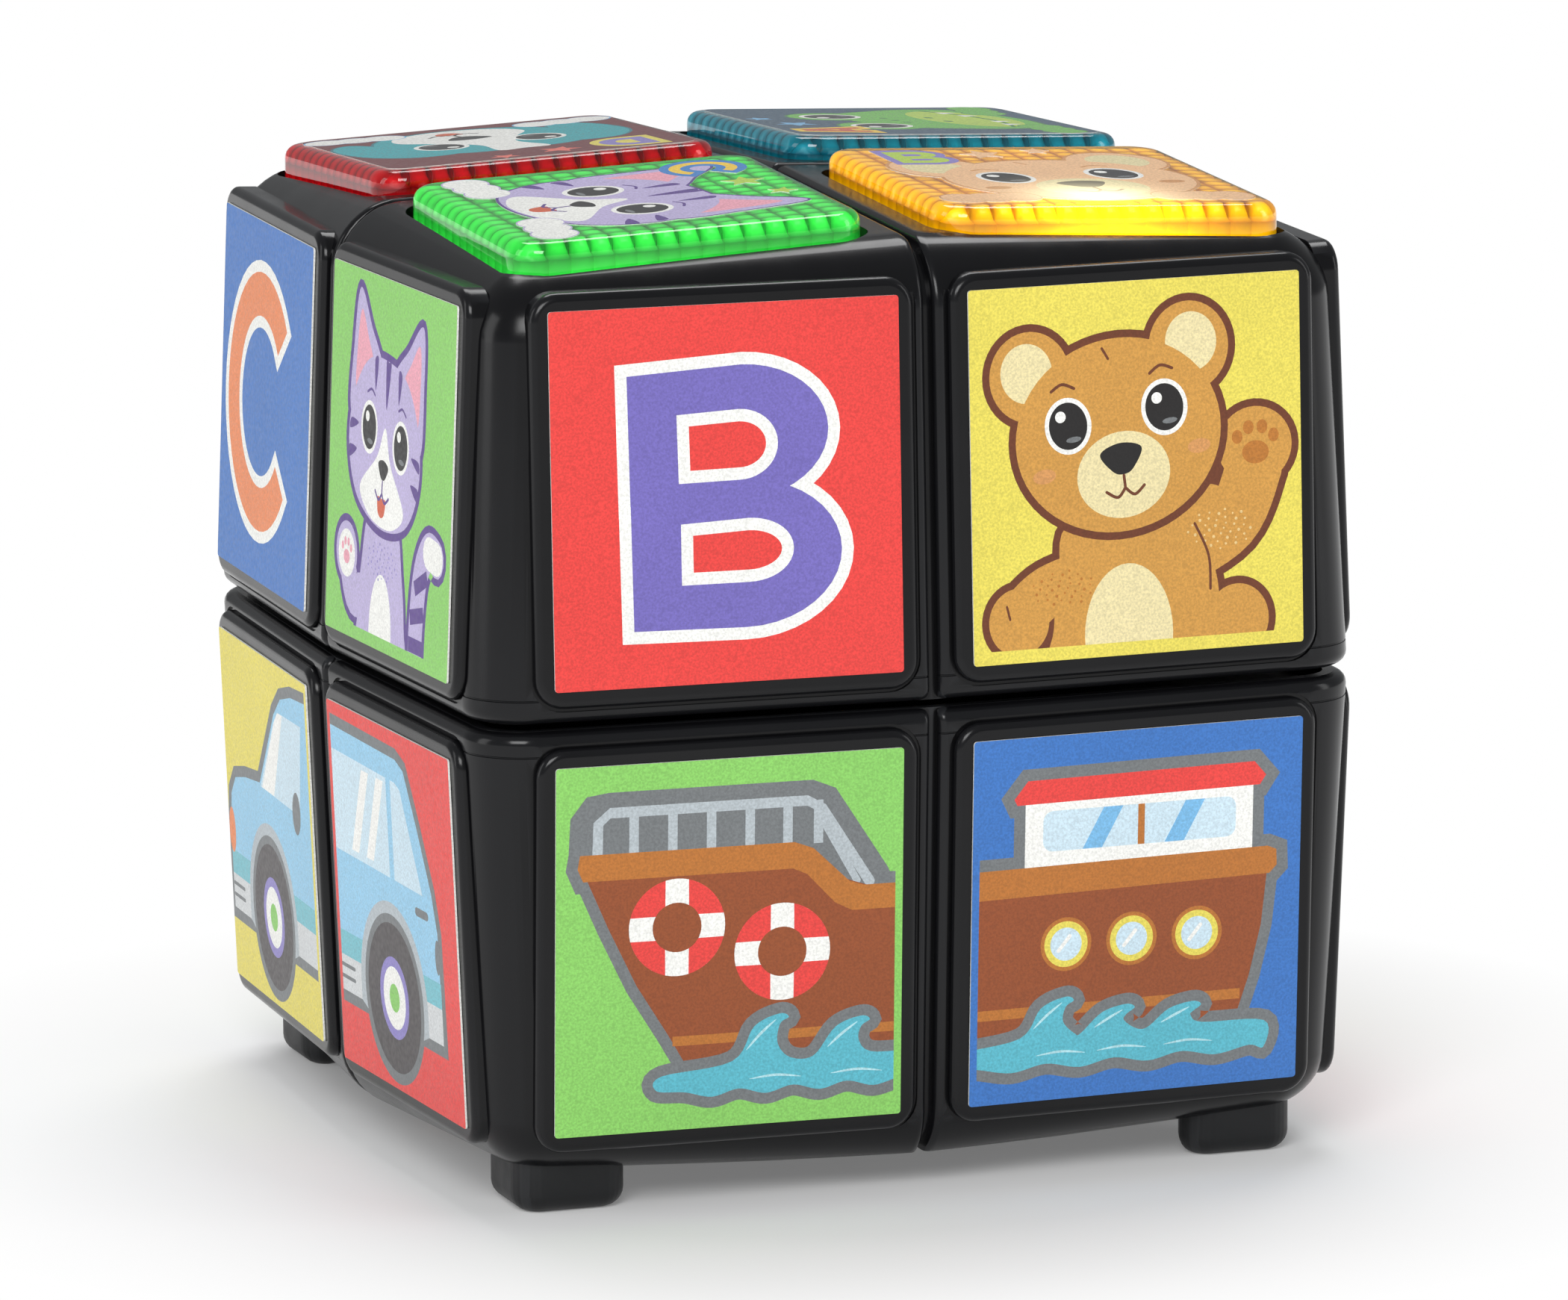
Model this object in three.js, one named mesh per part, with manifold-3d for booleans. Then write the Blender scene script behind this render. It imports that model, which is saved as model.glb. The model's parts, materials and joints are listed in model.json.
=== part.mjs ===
// A baby's twist-and-match activity cube, in millimetres, +Z up.
// The origin is the middle of its footprint on the floor, and Z is the axis that the upper half turns about.
//
// The upper half turns on the lower half in clicks of a quarter turn, so that letters and animals line up
// with vehicles. Four light-up buttons sit in the top. Cells, speaker and power slider are in the lower half,
// and a slip ring in the hollow pivot carries their current to the board under the buttons.
import * as THREE from "three";
import { mergeVertices } from "three/addons/utils/BufferGeometryUtils.js";
import { ConvexGeometry } from "three/addons/geometries/ConvexGeometry.js";
import Module from "manifold-3d";

// ---------------------------------------------------------------- driving dimensions

const MID = 61.7; // height of the plane between the two halves
const COLUMN = 26.5; // from the twist axis to the middle of a panel
const ROW = 27.65; // from the mid plane to the middle of a panel
const LEAN = Math.tan(THREE.MathUtils.degToRad(2.35)); // how fast every outer face falls away from its centre

const SHELL = {
  side: 57.5, // half width of the body, at the middle of a panel
  top: 56.9, // from the mid plane to the top face, at the middle of a button
  bottom: 58.2, // from the mid plane to the underside, at the same distance out
  lip: 0.5, // half the gap between the halves
  seam: 0.55, // half the width of the grooves that quarter the faces
  seamDepth: 1.6,
  corner: 7, // radius of the upright edges
  topRound: 8.5,
  bottomRound: 7,
  lipRound: 1.6,
  seamRound: 0.9,
  wall: 3,
};
const PANEL = { width: 48.5, height: 50.5, corner: 3.5, proud: 1.2, fillet: 0.9, root: 2 };
const LABEL = { width: 44.1, height: 46.1, corner: 0.8, thick: 0.25, glue: 0.05 };
const BUTTON = {
  at: 27.4, // from the twist axis to the middle of a button
  size: 45.2,
  corner: 4.5,
  proud: 2.8,
  thick: 5,
  fillet: 1.5,
  stem: 5,
  stemEnd: 107.6,
};
const HOOK = { at: 18.2, leg: 1.6, width: 8, reach: 1.2, top: 108.2, bottom: 107 };
const POCKET = { gap: 0.9, ledge: 111.5, window: 39, windowCorner: 3, roofUnder: 108.5 };
const KEYPAD = { half: 46, under: 103.85, thick: 0.8, domeTop: 107.3, domeWide: 6, domeNarrow: 4 };
const BOARD = { half: 40, under: 102, thick: 1.6, hang: 34, hangRadius: 2.8, pin: 1.2 };
const LAMP = { offset: 11, radius: 1.5, tall: 2.6 };
const UPPER_DECK = { half: 53.5, corner: 6, under: 62.5, top: 65, bore: 18.3, collar: 23, collarTop: 69.6 };
const UPPER_SCREW = { at: 44, seat: 64.2, boss: 4.2, bossTop: 66.6 };
const LOWER_DECK = { half: 53.5, corner: 6, under: 57, top: 59.4, spigot: 18, hollow: 14.5, spigotTop: 70 };
const LOWER_SCREW = { x: 46, y: 20, seat: 46, floor: 2, well: 3.4, post: 5 };
const THRUST = { inner: 20.5, outer: 26.5, top: 62.3 };
const DETENT = { radius: 40, half: 3, crest: 61.4, notch: 1.3, notchWidth: 7 };
const PLUNGER = { pin: 2.4, top: 72, guideTop: 81 };
const RETAINER = { flange: 22, under: 70.1, thick: 2, skirt: 14.2, skirtInner: 12.2, skirtEnd: 66 };
const SLIP = { inner: 3.5, outer: 18.5, under: 72.2, thick: 1.6, tracks: [6.5, 11, 15.5], trackHalf: 0.8 };
const CARRIER = { post: 30, postRadius: 3.5, under: 80, thick: 2.4, half: 8, reach: 35 };
const SCREW = { head: 2.9, headTall: 1.7, shank: 1.4, pilot: 1.5, clear: 1.7, long: 9.5 };
const BASE = { flat: 4.6, inside: 7.6 }; // the underside's flat, and the floor inside above it
const FOOT = { size: 14.4, corner: 3.6, round: 2.4, reach: 14.8, at: 44, seat: 7 };
const CELL = { radius: 5.25, long: 44.5, nub: 1, nubRadius: 1.9, z: 14, pitch: 5.8 };
const BAY = { x: 27, yLow: -29, yHigh: -5, top: 20, wall: 2 };
const DOOR = { x: 30, yLow: -31, yHigh: 4, thick: 2.2, gap: 0.35 };
const DOOR_SCREW = { y: -0.5, seat: 6.6, boss: 4.4, bossTop: 8.4 };
const SPEAKER = { y: 30, radius: 18, frame: 3, magnet: 10, tall: 13, fence: 1.6 };
const GRILLE = { hole: 1.2, rings: [0, 5.5, 11], perRing: 6 };
const SLIDER = { x: -41, y: -3, travel: 6, knob: 4, plate: 7.6, plateThick: 1.6 };
const SWITCH = { half: 7, long: 14, boss: 11.5, under: 9.7, thick: 1.2 };

const SMALL = 10; // sides given to round things of each size
const MEDIUM = 12;
const LARGE = 24;

const FACES = ["front", "right", "back", "left"]; // front faces -Y, and each next face is a quarter turn on
const QUARTERS = [[-1, -1], [1, -1], [1, 1], [-1, 1]];

// ---------------------------------------------------------------- solids

const wasm = await Module();
wasm.setup();

function solid(geometry) {
  const bare = geometry.index ? geometry.toNonIndexed() : geometry.clone();
  for (const name of Object.keys(bare.attributes)) {
    if (name !== "position") bare.deleteAttribute(name);
  }
  const merged = mergeVertices(bare, 1e-4);
  const mesh = new wasm.Mesh({
    numProp: 3,
    vertProperties: new Float32Array(merged.attributes.position.array),
    triVerts: new Uint32Array(merged.index.array),
  });
  return new wasm.Manifold(mesh);
}

const join = (...solids) => solids.reduce((whole, piece) => whole.add(piece));
const cut = (whole, ...tools) => tools.reduce((left, tool) => left.subtract(tool), whole);

function geometryOf(made) {
  const mesh = made.getMesh();
  const geometry = new THREE.BufferGeometry();
  geometry.setAttribute("position", new THREE.BufferAttribute(mesh.vertProperties, 3));
  geometry.setIndex(new THREE.BufferAttribute(mesh.triVerts, 1));
  geometry.computeVertexNormals();
  return geometry;
}

function box([x0, x1], [y0, y1], [z0, z1]) {
  const geometry = new THREE.BoxGeometry(x1 - x0, y1 - y0, z1 - z0);
  return solid(geometry.translate((x0 + x1) / 2, (y0 + y1) / 2, (z0 + z1) / 2));
}

function rod(x, y, radius, [z0, z1], sides = MEDIUM) {
  const geometry = new THREE.CylinderGeometry(radius, radius, z1 - z0, sides);
  return solid(geometry.rotateX(Math.PI / 2).translate(x, y, (z0 + z1) / 2));
}

// A round piece about Z. Its outline of [radius, z] points starts and ends on the axis, or closes on itself.
function turned(outline, sides = LARGE) {
  const points = outline.map(([r, z]) => new THREE.Vector2(r, z));
  if (outline[0][0] > 0) points.push(points[0]);
  return solid(new THREE.LatheGeometry(points, sides).rotateX(Math.PI / 2));
}

function ring(inner, outer, [z0, z1], sides = LARGE) {
  return turned([[inner, z0], [outer, z0], [outer, z1], [inner, z1]], sides);
}

function roundedSquare(width, height, corner) {
  const [x, y] = [width / 2 - corner, height / 2 - corner];
  const quarterTurn = Math.PI / 2;
  const shape = new THREE.Shape();
  shape.absarc(x, -y, corner, -quarterTurn, 0);
  shape.absarc(x, y, corner, 0, quarterTurn);
  shape.absarc(-x, y, corner, quarterTurn, 2 * quarterTurn);
  shape.absarc(-x, -y, corner, 2 * quarterTurn, 3 * quarterTurn);
  return shape;
}

// A rounded square from z0 to z1, whose top edge can be rounded too.
function pad(width, height, corner, [z0, z1], { fillet = 0, steps = 1, curveSegments = 1 } = {}) {
  const shape = roundedSquare(width, height, corner);
  const bevel = { bevelThickness: fillet, bevelSize: fillet, bevelOffset: -fillet, bevelSegments: steps };
  const options = { depth: z1 - z0 - fillet, curveSegments, bevelEnabled: fillet > 0, ...bevel };
  const made = solid(new THREE.ExtrudeGeometry(shape, options).translate(0, 0, z0));
  return fillet ? made.subtract(box([-width, width], [-height, height], [z0 - 2 * fillet, z0])) : made;
}

// ---------------------------------------------------------------- the pillow shape

const capOf = (end) => (end > 0 ? SHELL.top : SHELL.bottom);

// Every outer face bulges towards its centre: it falls by LEAN for each millimetre away from there, along
// both of the face's directions. Points of the flat-sided cube move in proportion, so the inside follows.
function pillow({ x, y, z }, end) {
  const [u, v, w] = [Math.abs(x), Math.abs(y), Math.abs(z - MID)];
  const alongX = 1 - (LEAN / SHELL.side) * (v - COLUMN + w - ROW);
  const alongY = 1 - (LEAN / SHELL.side) * (u - COLUMN + w - ROW);
  const alongZ = 1 - (LEAN / capOf(end)) * (u - COLUMN + v - COLUMN);
  return new THREE.Vector3(x * alongX, y * alongY, MID + (z - MID) * alongZ);
}

// One level of a quarter's outline: cut off at the seams and round at the outer corner.
function outlineAt({ low, high, corner, chamfer, steps }) {
  const outline = [[low, low], [low, high - chamfer], [low + chamfer, high], [high, low + chamfer]];
  outline.push([high - chamfer, low]);
  const centre = high - corner;
  for (let i = 0; i <= steps; i++) {
    const angle = ((i / steps) * Math.PI) / 2;
    outline.push([centre + corner * Math.cos(angle), centre + corner * Math.sin(angle)]);
  }
  return outline;
}

// A quarter of one half, as the hull of its levels. end is 1 for the upper half and -1 for the lower one, and
// shrink moves every outer face inwards.
function quarter([sx, sy], end, { inner, shrink, from, lipRound, seamRound, steps }) {
  const side = SHELL.side - shrink;
  const cap = capOf(end) - shrink;
  const round = (end > 0 ? SHELL.topRound : SHELL.bottomRound) - shrink;
  const points = [];
  const addLevel = (height, inset, seamInset) => {
    const corner = Math.max(SHELL.corner - shrink - inset, 0.5);
    const [low, high] = [inner + seamInset, side - inset];
    const outline = outlineAt({ low, high, corner, chamfer: seamRound, steps });
    for (const [x, y] of outline) {
      points.push(pillow(new THREE.Vector3(sx * x, sy * y, MID + end * height), end));
    }
  };
  for (const angle of lipRound ? [0, Math.PI / 4, Math.PI / 2] : [0]) {
    addLevel(from + lipRound * (1 - Math.sin(angle)), lipRound * (1 - Math.cos(angle)), 0);
  }
  for (let i = 0; i <= steps; i++) {
    const angle = ((i / steps) * Math.PI) / 2;
    const seamInset = i === steps ? seamRound : 0;
    addLevel(cap - round * (1 - Math.sin(angle)), round * (1 - Math.cos(angle)), seamInset);
  }
  return solid(new ConvexGeometry(points));
}

const fourQuarters = (end, options) => join(...QUARTERS.map((signs) => quarter(signs, end, options)));

// The four quarters of a half, with the core that shows at the bottom of the grooves between them.
function outside(end) {
  const { seam, seamDepth, lip, lipRound, seamRound } = SHELL;
  const quarters = fourQuarters(end, { inner: seam, shrink: 0, from: lip, lipRound, seamRound, steps: 3 });
  const core = { inner: 0, shrink: seamDepth, from: lip, lipRound: 0, seamRound: 0, steps: 2 };
  return join(quarters, fourQuarters(end, core));
}

function cavity(end) {
  return fourQuarters(end, { inner: 0, shrink: SHELL.wall, from: -1, lipRound: 0, seamRound: 0, steps: 2 });
}

// Stands a flat-lying piece on one quarter of a face, with its +Z outwards and leaning as that quarter does.
function faceMatrix(face, column, row, out) {
  const normal = new THREE.Vector3(column * LEAN, -1, row * LEAN).normalize();
  const across = new THREE.Vector3(1, column * LEAN, 0).normalize();
  const up = new THREE.Vector3().crossVectors(normal, across);
  const middle = new THREE.Vector3(column * COLUMN, -SHELL.side, MID + row * ROW);
  const place = new THREE.Matrix4().makeBasis(across, up, normal);
  place.setPosition(middle.addScaledVector(normal, out));
  return new THREE.Matrix4().makeRotationZ((face * Math.PI) / 2).multiply(place);
}

function panels(row) {
  const { width, height, corner, root, proud, fillet } = PANEL;
  const plate = pad(width, height, corner, [-root, proud], { fillet });
  const spots = [0, 1, 2, 3].flatMap((face) => [-1, 1].map((column) => faceMatrix(face, column, row, 0)));
  return join(...spots.map((matrix) => plate.transform(matrix.elements)));
}

const everywhere = [-80, 80];

// ---------------------------------------------------------------- upper half

function upperHousing() {
  const inside = cavity(1).intersect(box(everywhere, everywhere, [MID - 2, POCKET.roofUnder]));
  let body = outside(1).add(panels(1)).subtract(inside);
  const size = BUTTON.size + 2 * POCKET.gap;
  const { window, windowCorner, ledge, roofUnder } = POCKET;
  const pocket = pad(size, size, BUTTON.corner, [ledge, ledge + 20]);
  const hole = pad(window, window, windowCorner, [roofUnder - 1, ledge + 1]);
  const { at, boss, bossTop } = UPPER_SCREW;
  for (const [sx, sy] of QUARTERS) {
    const spot = [sx * BUTTON.at, sy * BUTTON.at, 0];
    body = cut(body, pocket.translate(spot), hole.translate(spot));
    body = body.add(rod(sx * at, sy * at, boss, [bossTop + 0.2, roofUnder + 0.5]));
    body = body.subtract(rod(sx * at, sy * at, SCREW.pilot, [MID, 80], SMALL));
  }
  const boardTop = BOARD.under + BOARD.thick;
  for (const [dx, dy] of [[1, 0], [-1, 0], [0, 1], [0, -1]]) {
    const [x, y] = [dx * BOARD.hang, dy * BOARD.hang];
    body = body.add(rod(x, y, BOARD.hangRadius, [boardTop + 0.2, roofUnder + 0.5]));
    body = body.add(rod(x, y, BOARD.pin, [BOARD.under - 0.8, boardTop + 0.5], SMALL));
  }
  return body;
}

function upperDeck() {
  const { half, corner, under, top, bore, collar, collarTop } = UPPER_DECK;
  let deck = pad(2 * half, 2 * half, corner, [under, top]);
  deck = deck.add(rod(0, 0, collar, [under + 1, collarTop], LARGE));
  deck = deck.subtract(rod(0, 0, bore, [MID - 5, 90], LARGE));
  const { at, boss, bossTop, seat } = UPPER_SCREW;
  for (const [sx, sy] of QUARTERS) {
    deck = deck.add(rod(sx * at, sy * at, boss, [under + 1, bossTop]));
    deck = deck.subtract(rod(sx * at, sy * at, SCREW.head + 0.4, [MID - 1, seat]));
    deck = deck.subtract(rod(sx * at, sy * at, SCREW.clear, [MID - 1, bossTop + 1], SMALL));
  }
  for (const side of [-1, 1]) {
    deck = deck.add(rod(0, side * CARRIER.post, CARRIER.postRadius, [top - 1, CARRIER.under - 0.1]));
  }
  const { pin, guideTop } = PLUNGER;
  const guide = rod(DETENT.radius, 0, pin + 2, [top - 1, guideTop]);
  return deck.add(guide).subtract(rod(DETENT.radius, 0, pin + 0.15, [MID - 1, guideTop - 2]));
}

// A round-nosed pin that drops into the notches under it.
function detentPlunger() {
  const { pin, top } = PLUNGER;
  const nose = DETENT.crest + 0.1;
  const roundNose = [[0, nose], [pin * 0.4, nose], [pin * 0.85, nose + 0.7], [pin, nose + 1.8]];
  return turned([...roundNose, [pin, top], [0, top]], MEDIUM).translate(DETENT.radius, 0, 0);
}

// A compression spring: one round wire wound about the plunger's axis.
function detentSpring() {
  const [turns, coil, wire, rise] = [3.5, 1.6, 0.3, 5.6];
  class Helix extends THREE.Curve {
    getPoint(t) {
      const angle = 2 * Math.PI * turns * t;
      return new THREE.Vector3(coil * Math.cos(angle), coil * Math.sin(angle), rise * t);
    }
  }
  const section = new THREE.Shape().absarc(0, 0, wire, 0, 2 * Math.PI);
  const options = { steps: 30, curveSegments: 2, extrudePath: new Helix() };
  return solid(new THREE.ExtrudeGeometry(section, options).translate(DETENT.radius, 0, PLUNGER.top + 0.6));
}

function mainBoard() {
  const { half, under, thick, hang, pin } = BOARD;
  let board = pad(2 * half, 2 * half, 3, [under, under + thick]);
  for (const [dx, dy] of [[1, 0], [-1, 0], [0, 1], [0, -1]]) {
    board = board.subtract(rod(dx * hang, dy * hang, pin + 0.3, [under - 1, under + thick + 1], SMALL));
  }
  const chip = box([-8, 8], [-6, 6], [under - 2, under + 0.2]);
  return board.add(chip);
}

// A domed lamp that stands on the main board under one edge of a button.
function lamp() {
  const { radius, tall } = LAMP;
  const low = BOARD.under + BOARD.thick + 0.05;
  const top = low + tall;
  return turned([[0, low], [radius, low], [radius, low + tall * 0.6], [radius * 0.6, top], [0, top]], SMALL);
}

function keypadMembrane() {
  const { half, under, thick, domeTop, domeWide, domeNarrow } = KEYPAD;
  let sheet = pad(2 * half, 2 * half, 3, [under, under + thick]);
  const dome = [[0, under], [domeWide, under], [domeNarrow, domeTop - 0.6], [domeNarrow - 0.6, domeTop]];
  dome.push([0, domeTop]);
  const past = [under - 1, under + 5];
  QUARTERS.forEach(([sx, sy], i) => {
    const spot = lampSpot(i);
    sheet = sheet.add(turned(dome, MEDIUM).translate(sx * BUTTON.at, sy * BUTTON.at, 0));
    sheet = sheet.subtract(rod(sx * UPPER_SCREW.at, sy * UPPER_SCREW.at, UPPER_SCREW.boss + 0.5, past));
    sheet = sheet.subtract(rod(spot[0], spot[1], LAMP.radius + 0.5, past, SMALL));
  });
  for (const [dx, dy] of [[1, 0], [-1, 0], [0, 1], [0, -1]]) {
    sheet = sheet.subtract(rod(dx * BOARD.hang, dy * BOARD.hang, BOARD.hangRadius + 0.4, past));
  }
  return sheet;
}

// The lamps go round the top with the pictures: each is at the bottom edge of its button's picture.
function lampSpot(i) {
  const [sx, sy] = QUARTERS[i];
  const down = [[-1, 0], [0, -1], [1, 0], [0, 1]][i];
  return [sx * BUTTON.at + down[0] * LAMP.offset, sy * BUTTON.at + down[1] * LAMP.offset];
}

// Made about its own middle, falling away towards +X and +Y.
function button() {
  const { size, corner, proud, thick, fillet, stem, stemEnd } = BUTTON;
  const top = MID + SHELL.top + proud;
  const cap = pad(size, size, corner, [top - thick, top], { fillet, steps: 2, curveSegments: 2 });
  const leaning = cap.warp((point) => {
    point[2] -= LEAN * (point[0] + point[1]);
  });
  let made = leaning.add(rod(0, 0, stem, [stemEnd, top - thick / 2]));
  const { at, leg, width, reach, top: hookTop, bottom } = HOOK;
  for (const side of [-1, 1]) {
    const out = (a, b) => [side * a, side * b].sort((p, q) => p - q);
    const across = [-width / 2, width / 2];
    made = made.add(box(out(at - leg, at), across, [bottom, top - thick / 2]));
    made = made.add(box(out(at - leg, at + 2 * reach), across, [bottom, hookTop]));
  }
  return made;
}

function contactCarrier() {
  const { half, reach, under, thick } = CARRIER;
  return box([-half, half], [-reach, reach], [under, under + thick]);
}

// A leaf of springy bronze that hangs from the carrier and rests on one track.
function contactFinger(y) {
  const tip = SLIP.under + SLIP.thick + 0.25;
  const root = CARRIER.under - 0.1;
  const [half, sheet, width, fromRootToTip] = [4, 0.4, 1.2, 2.9];
  const leaf = new THREE.Shape();
  leaf.moveTo(-half, root);
  leaf.lineTo(-half, root - sheet);
  leaf.lineTo(half - 2 * sheet, root - sheet);
  leaf.lineTo(-fromRootToTip + 0.1, tip + sheet);
  leaf.lineTo(-half, tip + 0.95);
  leaf.lineTo(-half - 0.25, tip + 0.65);
  leaf.lineTo(-fromRootToTip, tip);
  leaf.lineTo(half, root - sheet);
  leaf.lineTo(half, root);
  const strip = new THREE.ExtrudeGeometry(leaf, { depth: width, bevelEnabled: false });
  return solid(strip.translate(fromRootToTip, 0, -width / 2).rotateX(Math.PI / 2).translate(0, y, 0));
}

// ---------------------------------------------------------------- lower half

function lowerHousing() {
  const floor = BASE.inside;
  const inside = cavity(-1).intersect(box(everywhere, everywhere, [floor, MID + 2]));
  let body = outside(-1).add(panels(-1)).subtract(inside);
  body = body.subtract(box(everywhere, everywhere, [-5, BASE.flat]));
  body = batteryBay(body);
  for (const sx of [-1, 1]) {
    for (const sy of [-1, 1]) {
      const { x, y, seat, floor: plate, well, post } = LOWER_SCREW;
      body = body.add(rod(sx * x, sy * y, post, [floor - 1, seat + plate]));
      body = body.subtract(rod(sx * x, sy * y, well, [0, seat]));
      body = body.subtract(rod(sx * x, sy * y, SCREW.clear, [0, MID], SMALL));
      const recess = footShape(sx, sy, [0, FOOT.seat], { grow: 0.3 });
      body = body.subtract(recess.translate(sx * FOOT.at, sy * FOOT.at, 0));
    }
  }
  return sliderSlot(speakerMount(body));
}

function batteryBay(body) {
  const { x, yLow, yHigh, top, wall } = BAY;
  const { y, seat, boss, bossTop } = DOOR_SCREW;
  const walls = box([-x - wall, x + wall], [yLow - wall, DOOR.yHigh + wall], [BASE.flat + 1, top + wall]);
  return cut(
    body.add(walls),
    box([-x, x], [yLow, yHigh], [0, top]),
    box([-DOOR.x, DOOR.x], [DOOR.yLow, DOOR.yHigh], [0, BASE.flat + DOOR.thick + 0.3]),
    rod(0, y, boss + 0.4, [0, bossTop + 0.3]),
    rod(0, y, SCREW.pilot, [0, seat + SCREW.long + 1], SMALL),
  );
}

function speakerMount(body) {
  const { y, radius, fence } = SPEAKER;
  const fenceRing = ring(radius + 0.4, radius + 0.4 + fence, [BASE.inside - 1, BASE.inside + 4]);
  let made = body.add(fenceRing.translate(0, y, 0));
  GRILLE.rings.forEach((out, row) => {
    const count = Math.max(1, row * GRILLE.perRing);
    for (let i = 0; i < count; i++) {
      const angle = (2 * Math.PI * i) / count;
      const [holeX, holeY] = [out * Math.cos(angle), y + out * Math.sin(angle)];
      made = made.subtract(rod(holeX, holeY, GRILLE.hole, [0, BASE.inside + 2], 6));
    }
  });
  return made;
}

function sliderSlot(body) {
  const { x, y, travel, knob } = SLIDER;
  const reach = knob / 2 + 0.5;
  const dish = reach + 1.5;
  let made = body;
  for (const side of [-1, 1]) {
    made = made.add(rod(x, side * SWITCH.boss, 2, [BASE.inside - 1, SWITCH.under - 0.1]));
  }
  return cut(
    made,
    box([x - reach, x + reach], [y - reach, y + travel + reach], [0, BASE.inside + 1]),
    box([x - dish, x + dish], [y - dish, y + travel + dish], [0, BASE.flat + 1]),
  );
}

function lowerDeck() {
  const { half, corner, under, top, spigot, hollow, spigotTop } = LOWER_DECK;
  const deck = pad(2 * half, 2 * half, corner, [under, top]);
  const thrust = ring(THRUST.inner, THRUST.outer, [top - 0.5, THRUST.top]);
  let made = join(deck, rod(0, 0, spigot, [under, spigotTop], LARGE), thrust, detentRing());
  made = made.subtract(rod(0, 0, hollow, [under - 1, spigotTop + 1], LARGE));
  for (const sx of [-1, 1]) {
    for (const sy of [-1, 1]) {
      const { x, y, seat, floor, well } = LOWER_SCREW;
      made = made.add(rod(sx * x, sy * y, well, [seat + floor + 0.2, under + 1]));
      made = made.subtract(rod(sx * x, sy * y, SCREW.pilot, [seat, under + 1], SMALL));
    }
  }
  return made;
}

// A raised ring with a notch at each quarter turn for the plunger to drop into.
function detentRing() {
  const { radius, half, crest, notch, notchWidth } = DETENT;
  let made = ring(radius - half, radius + half, [LOWER_DECK.top - 0.5, crest], 36);
  const trough = new THREE.Shape();
  trough.moveTo(-notchWidth / 2, crest + 0.1);
  trough.lineTo(-notchWidth / 4, crest - notch);
  trough.lineTo(notchWidth / 4, crest - notch);
  trough.lineTo(notchWidth / 2, crest + 0.1);
  const across = new THREE.ExtrudeGeometry(trough, { depth: 3 * half, bevelEnabled: false });
  across.rotateX(Math.PI / 2).translate(0, radius + 1.5 * half, 0);
  for (let i = 0; i < 4; i++) {
    made = made.subtract(solid(across.rotateZ(Math.PI / 2)));
  }
  return made;
}

// Caps the pivot: its skirt is fixed inside the spigot and its flange holds the upper deck's collar down.
function pivotRetainer() {
  const { flange, under, thick, skirt, skirtInner, skirtEnd } = RETAINER;
  const top = under + thick;
  const outline = [[skirtInner, skirtEnd], [skirt, skirtEnd], [skirt, under], [flange, under], [flange, top]];
  return turned([...outline, [skirtInner, top]]);
}

function slipRingBoard() {
  const { inner, outer, under, thick, tracks, trackHalf } = SLIP;
  const top = under + thick;
  const outline = [[inner, under], [outer, under], [outer, top]];
  for (const radius of [...tracks].reverse()) {
    const [far, near] = [radius + trackHalf, radius - trackHalf];
    outline.push([far, top], [far, top + 0.1], [near, top + 0.1], [near, top]);
  }
  outline.push([inner, top]);
  return turned(outline, MEDIUM);
}

// A rounded square whose inner corner is cut to an arc about the outer corner.
function footShape(sx, sy, [z0, z1], { grow = 0, ...rounding }) {
  const { size, corner, reach } = FOOT;
  const square = pad(size + 2 * grow, size + 2 * grow, corner, [z0, z1], rounding);
  const arc = rod((sx * size) / 2, (sy * size) / 2, reach + grow, [z0 - 1, z1 + 1], 2 * LARGE);
  return square.intersect(arc);
}

// Made upside down, with its worn edge up, and then turned over about X.
function foot(sx, sy) {
  const { round, seat } = FOOT;
  return footShape(sx, -sy, [0.05 - seat, 0], { fillet: round, steps: 2 }).rotate(180, 0, 0);
}

function speaker() {
  const { y, radius, frame, magnet, tall } = SPEAKER;
  const low = BASE.inside + 0.3;
  const rim = low + frame;
  const outline = [[0, low + 1], [radius - 2, low + 1], [radius - 2, low], [radius, low], [radius, rim]];
  outline.push([magnet + 3, rim + 3], [magnet, rim + 3], [magnet, low + tall], [0, low + tall]);
  return turned(outline).translate(0, y, 0);
}

function batteryDoor() {
  const { x, yLow, yHigh, thick, gap } = DOOR;
  const screwAt = DOOR_SCREW;
  const top = BASE.flat + thick;
  let door = box([-x + gap, x - gap], [yLow + gap, yHigh - gap], [BASE.flat, top]);
  door = door.add(rod(0, screwAt.y, screwAt.boss, [BASE.flat + 1, screwAt.bossTop]));
  for (const y of [BAY.yLow + 1, BAY.yHigh - 1.9]) {
    door = door.add(box([-BAY.x + 0.6, BAY.x - 0.6], [y, y + 1.2], [top - 0.5, top + 1.4]));
  }
  for (let i = -3; i <= 3; i++) {
    door = door.subtract(box([i * 3 - 0.5, i * 3 + 0.5], [yLow + 3, yLow + 9], [0, BASE.flat + 0.5]));
  }
  const well = rod(0, screwAt.y, SCREW.head + 0.35, [0, screwAt.seat]);
  return cut(door, well, rod(0, screwAt.y, SCREW.clear, [0, screwAt.bossTop + 1], SMALL));
}

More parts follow.
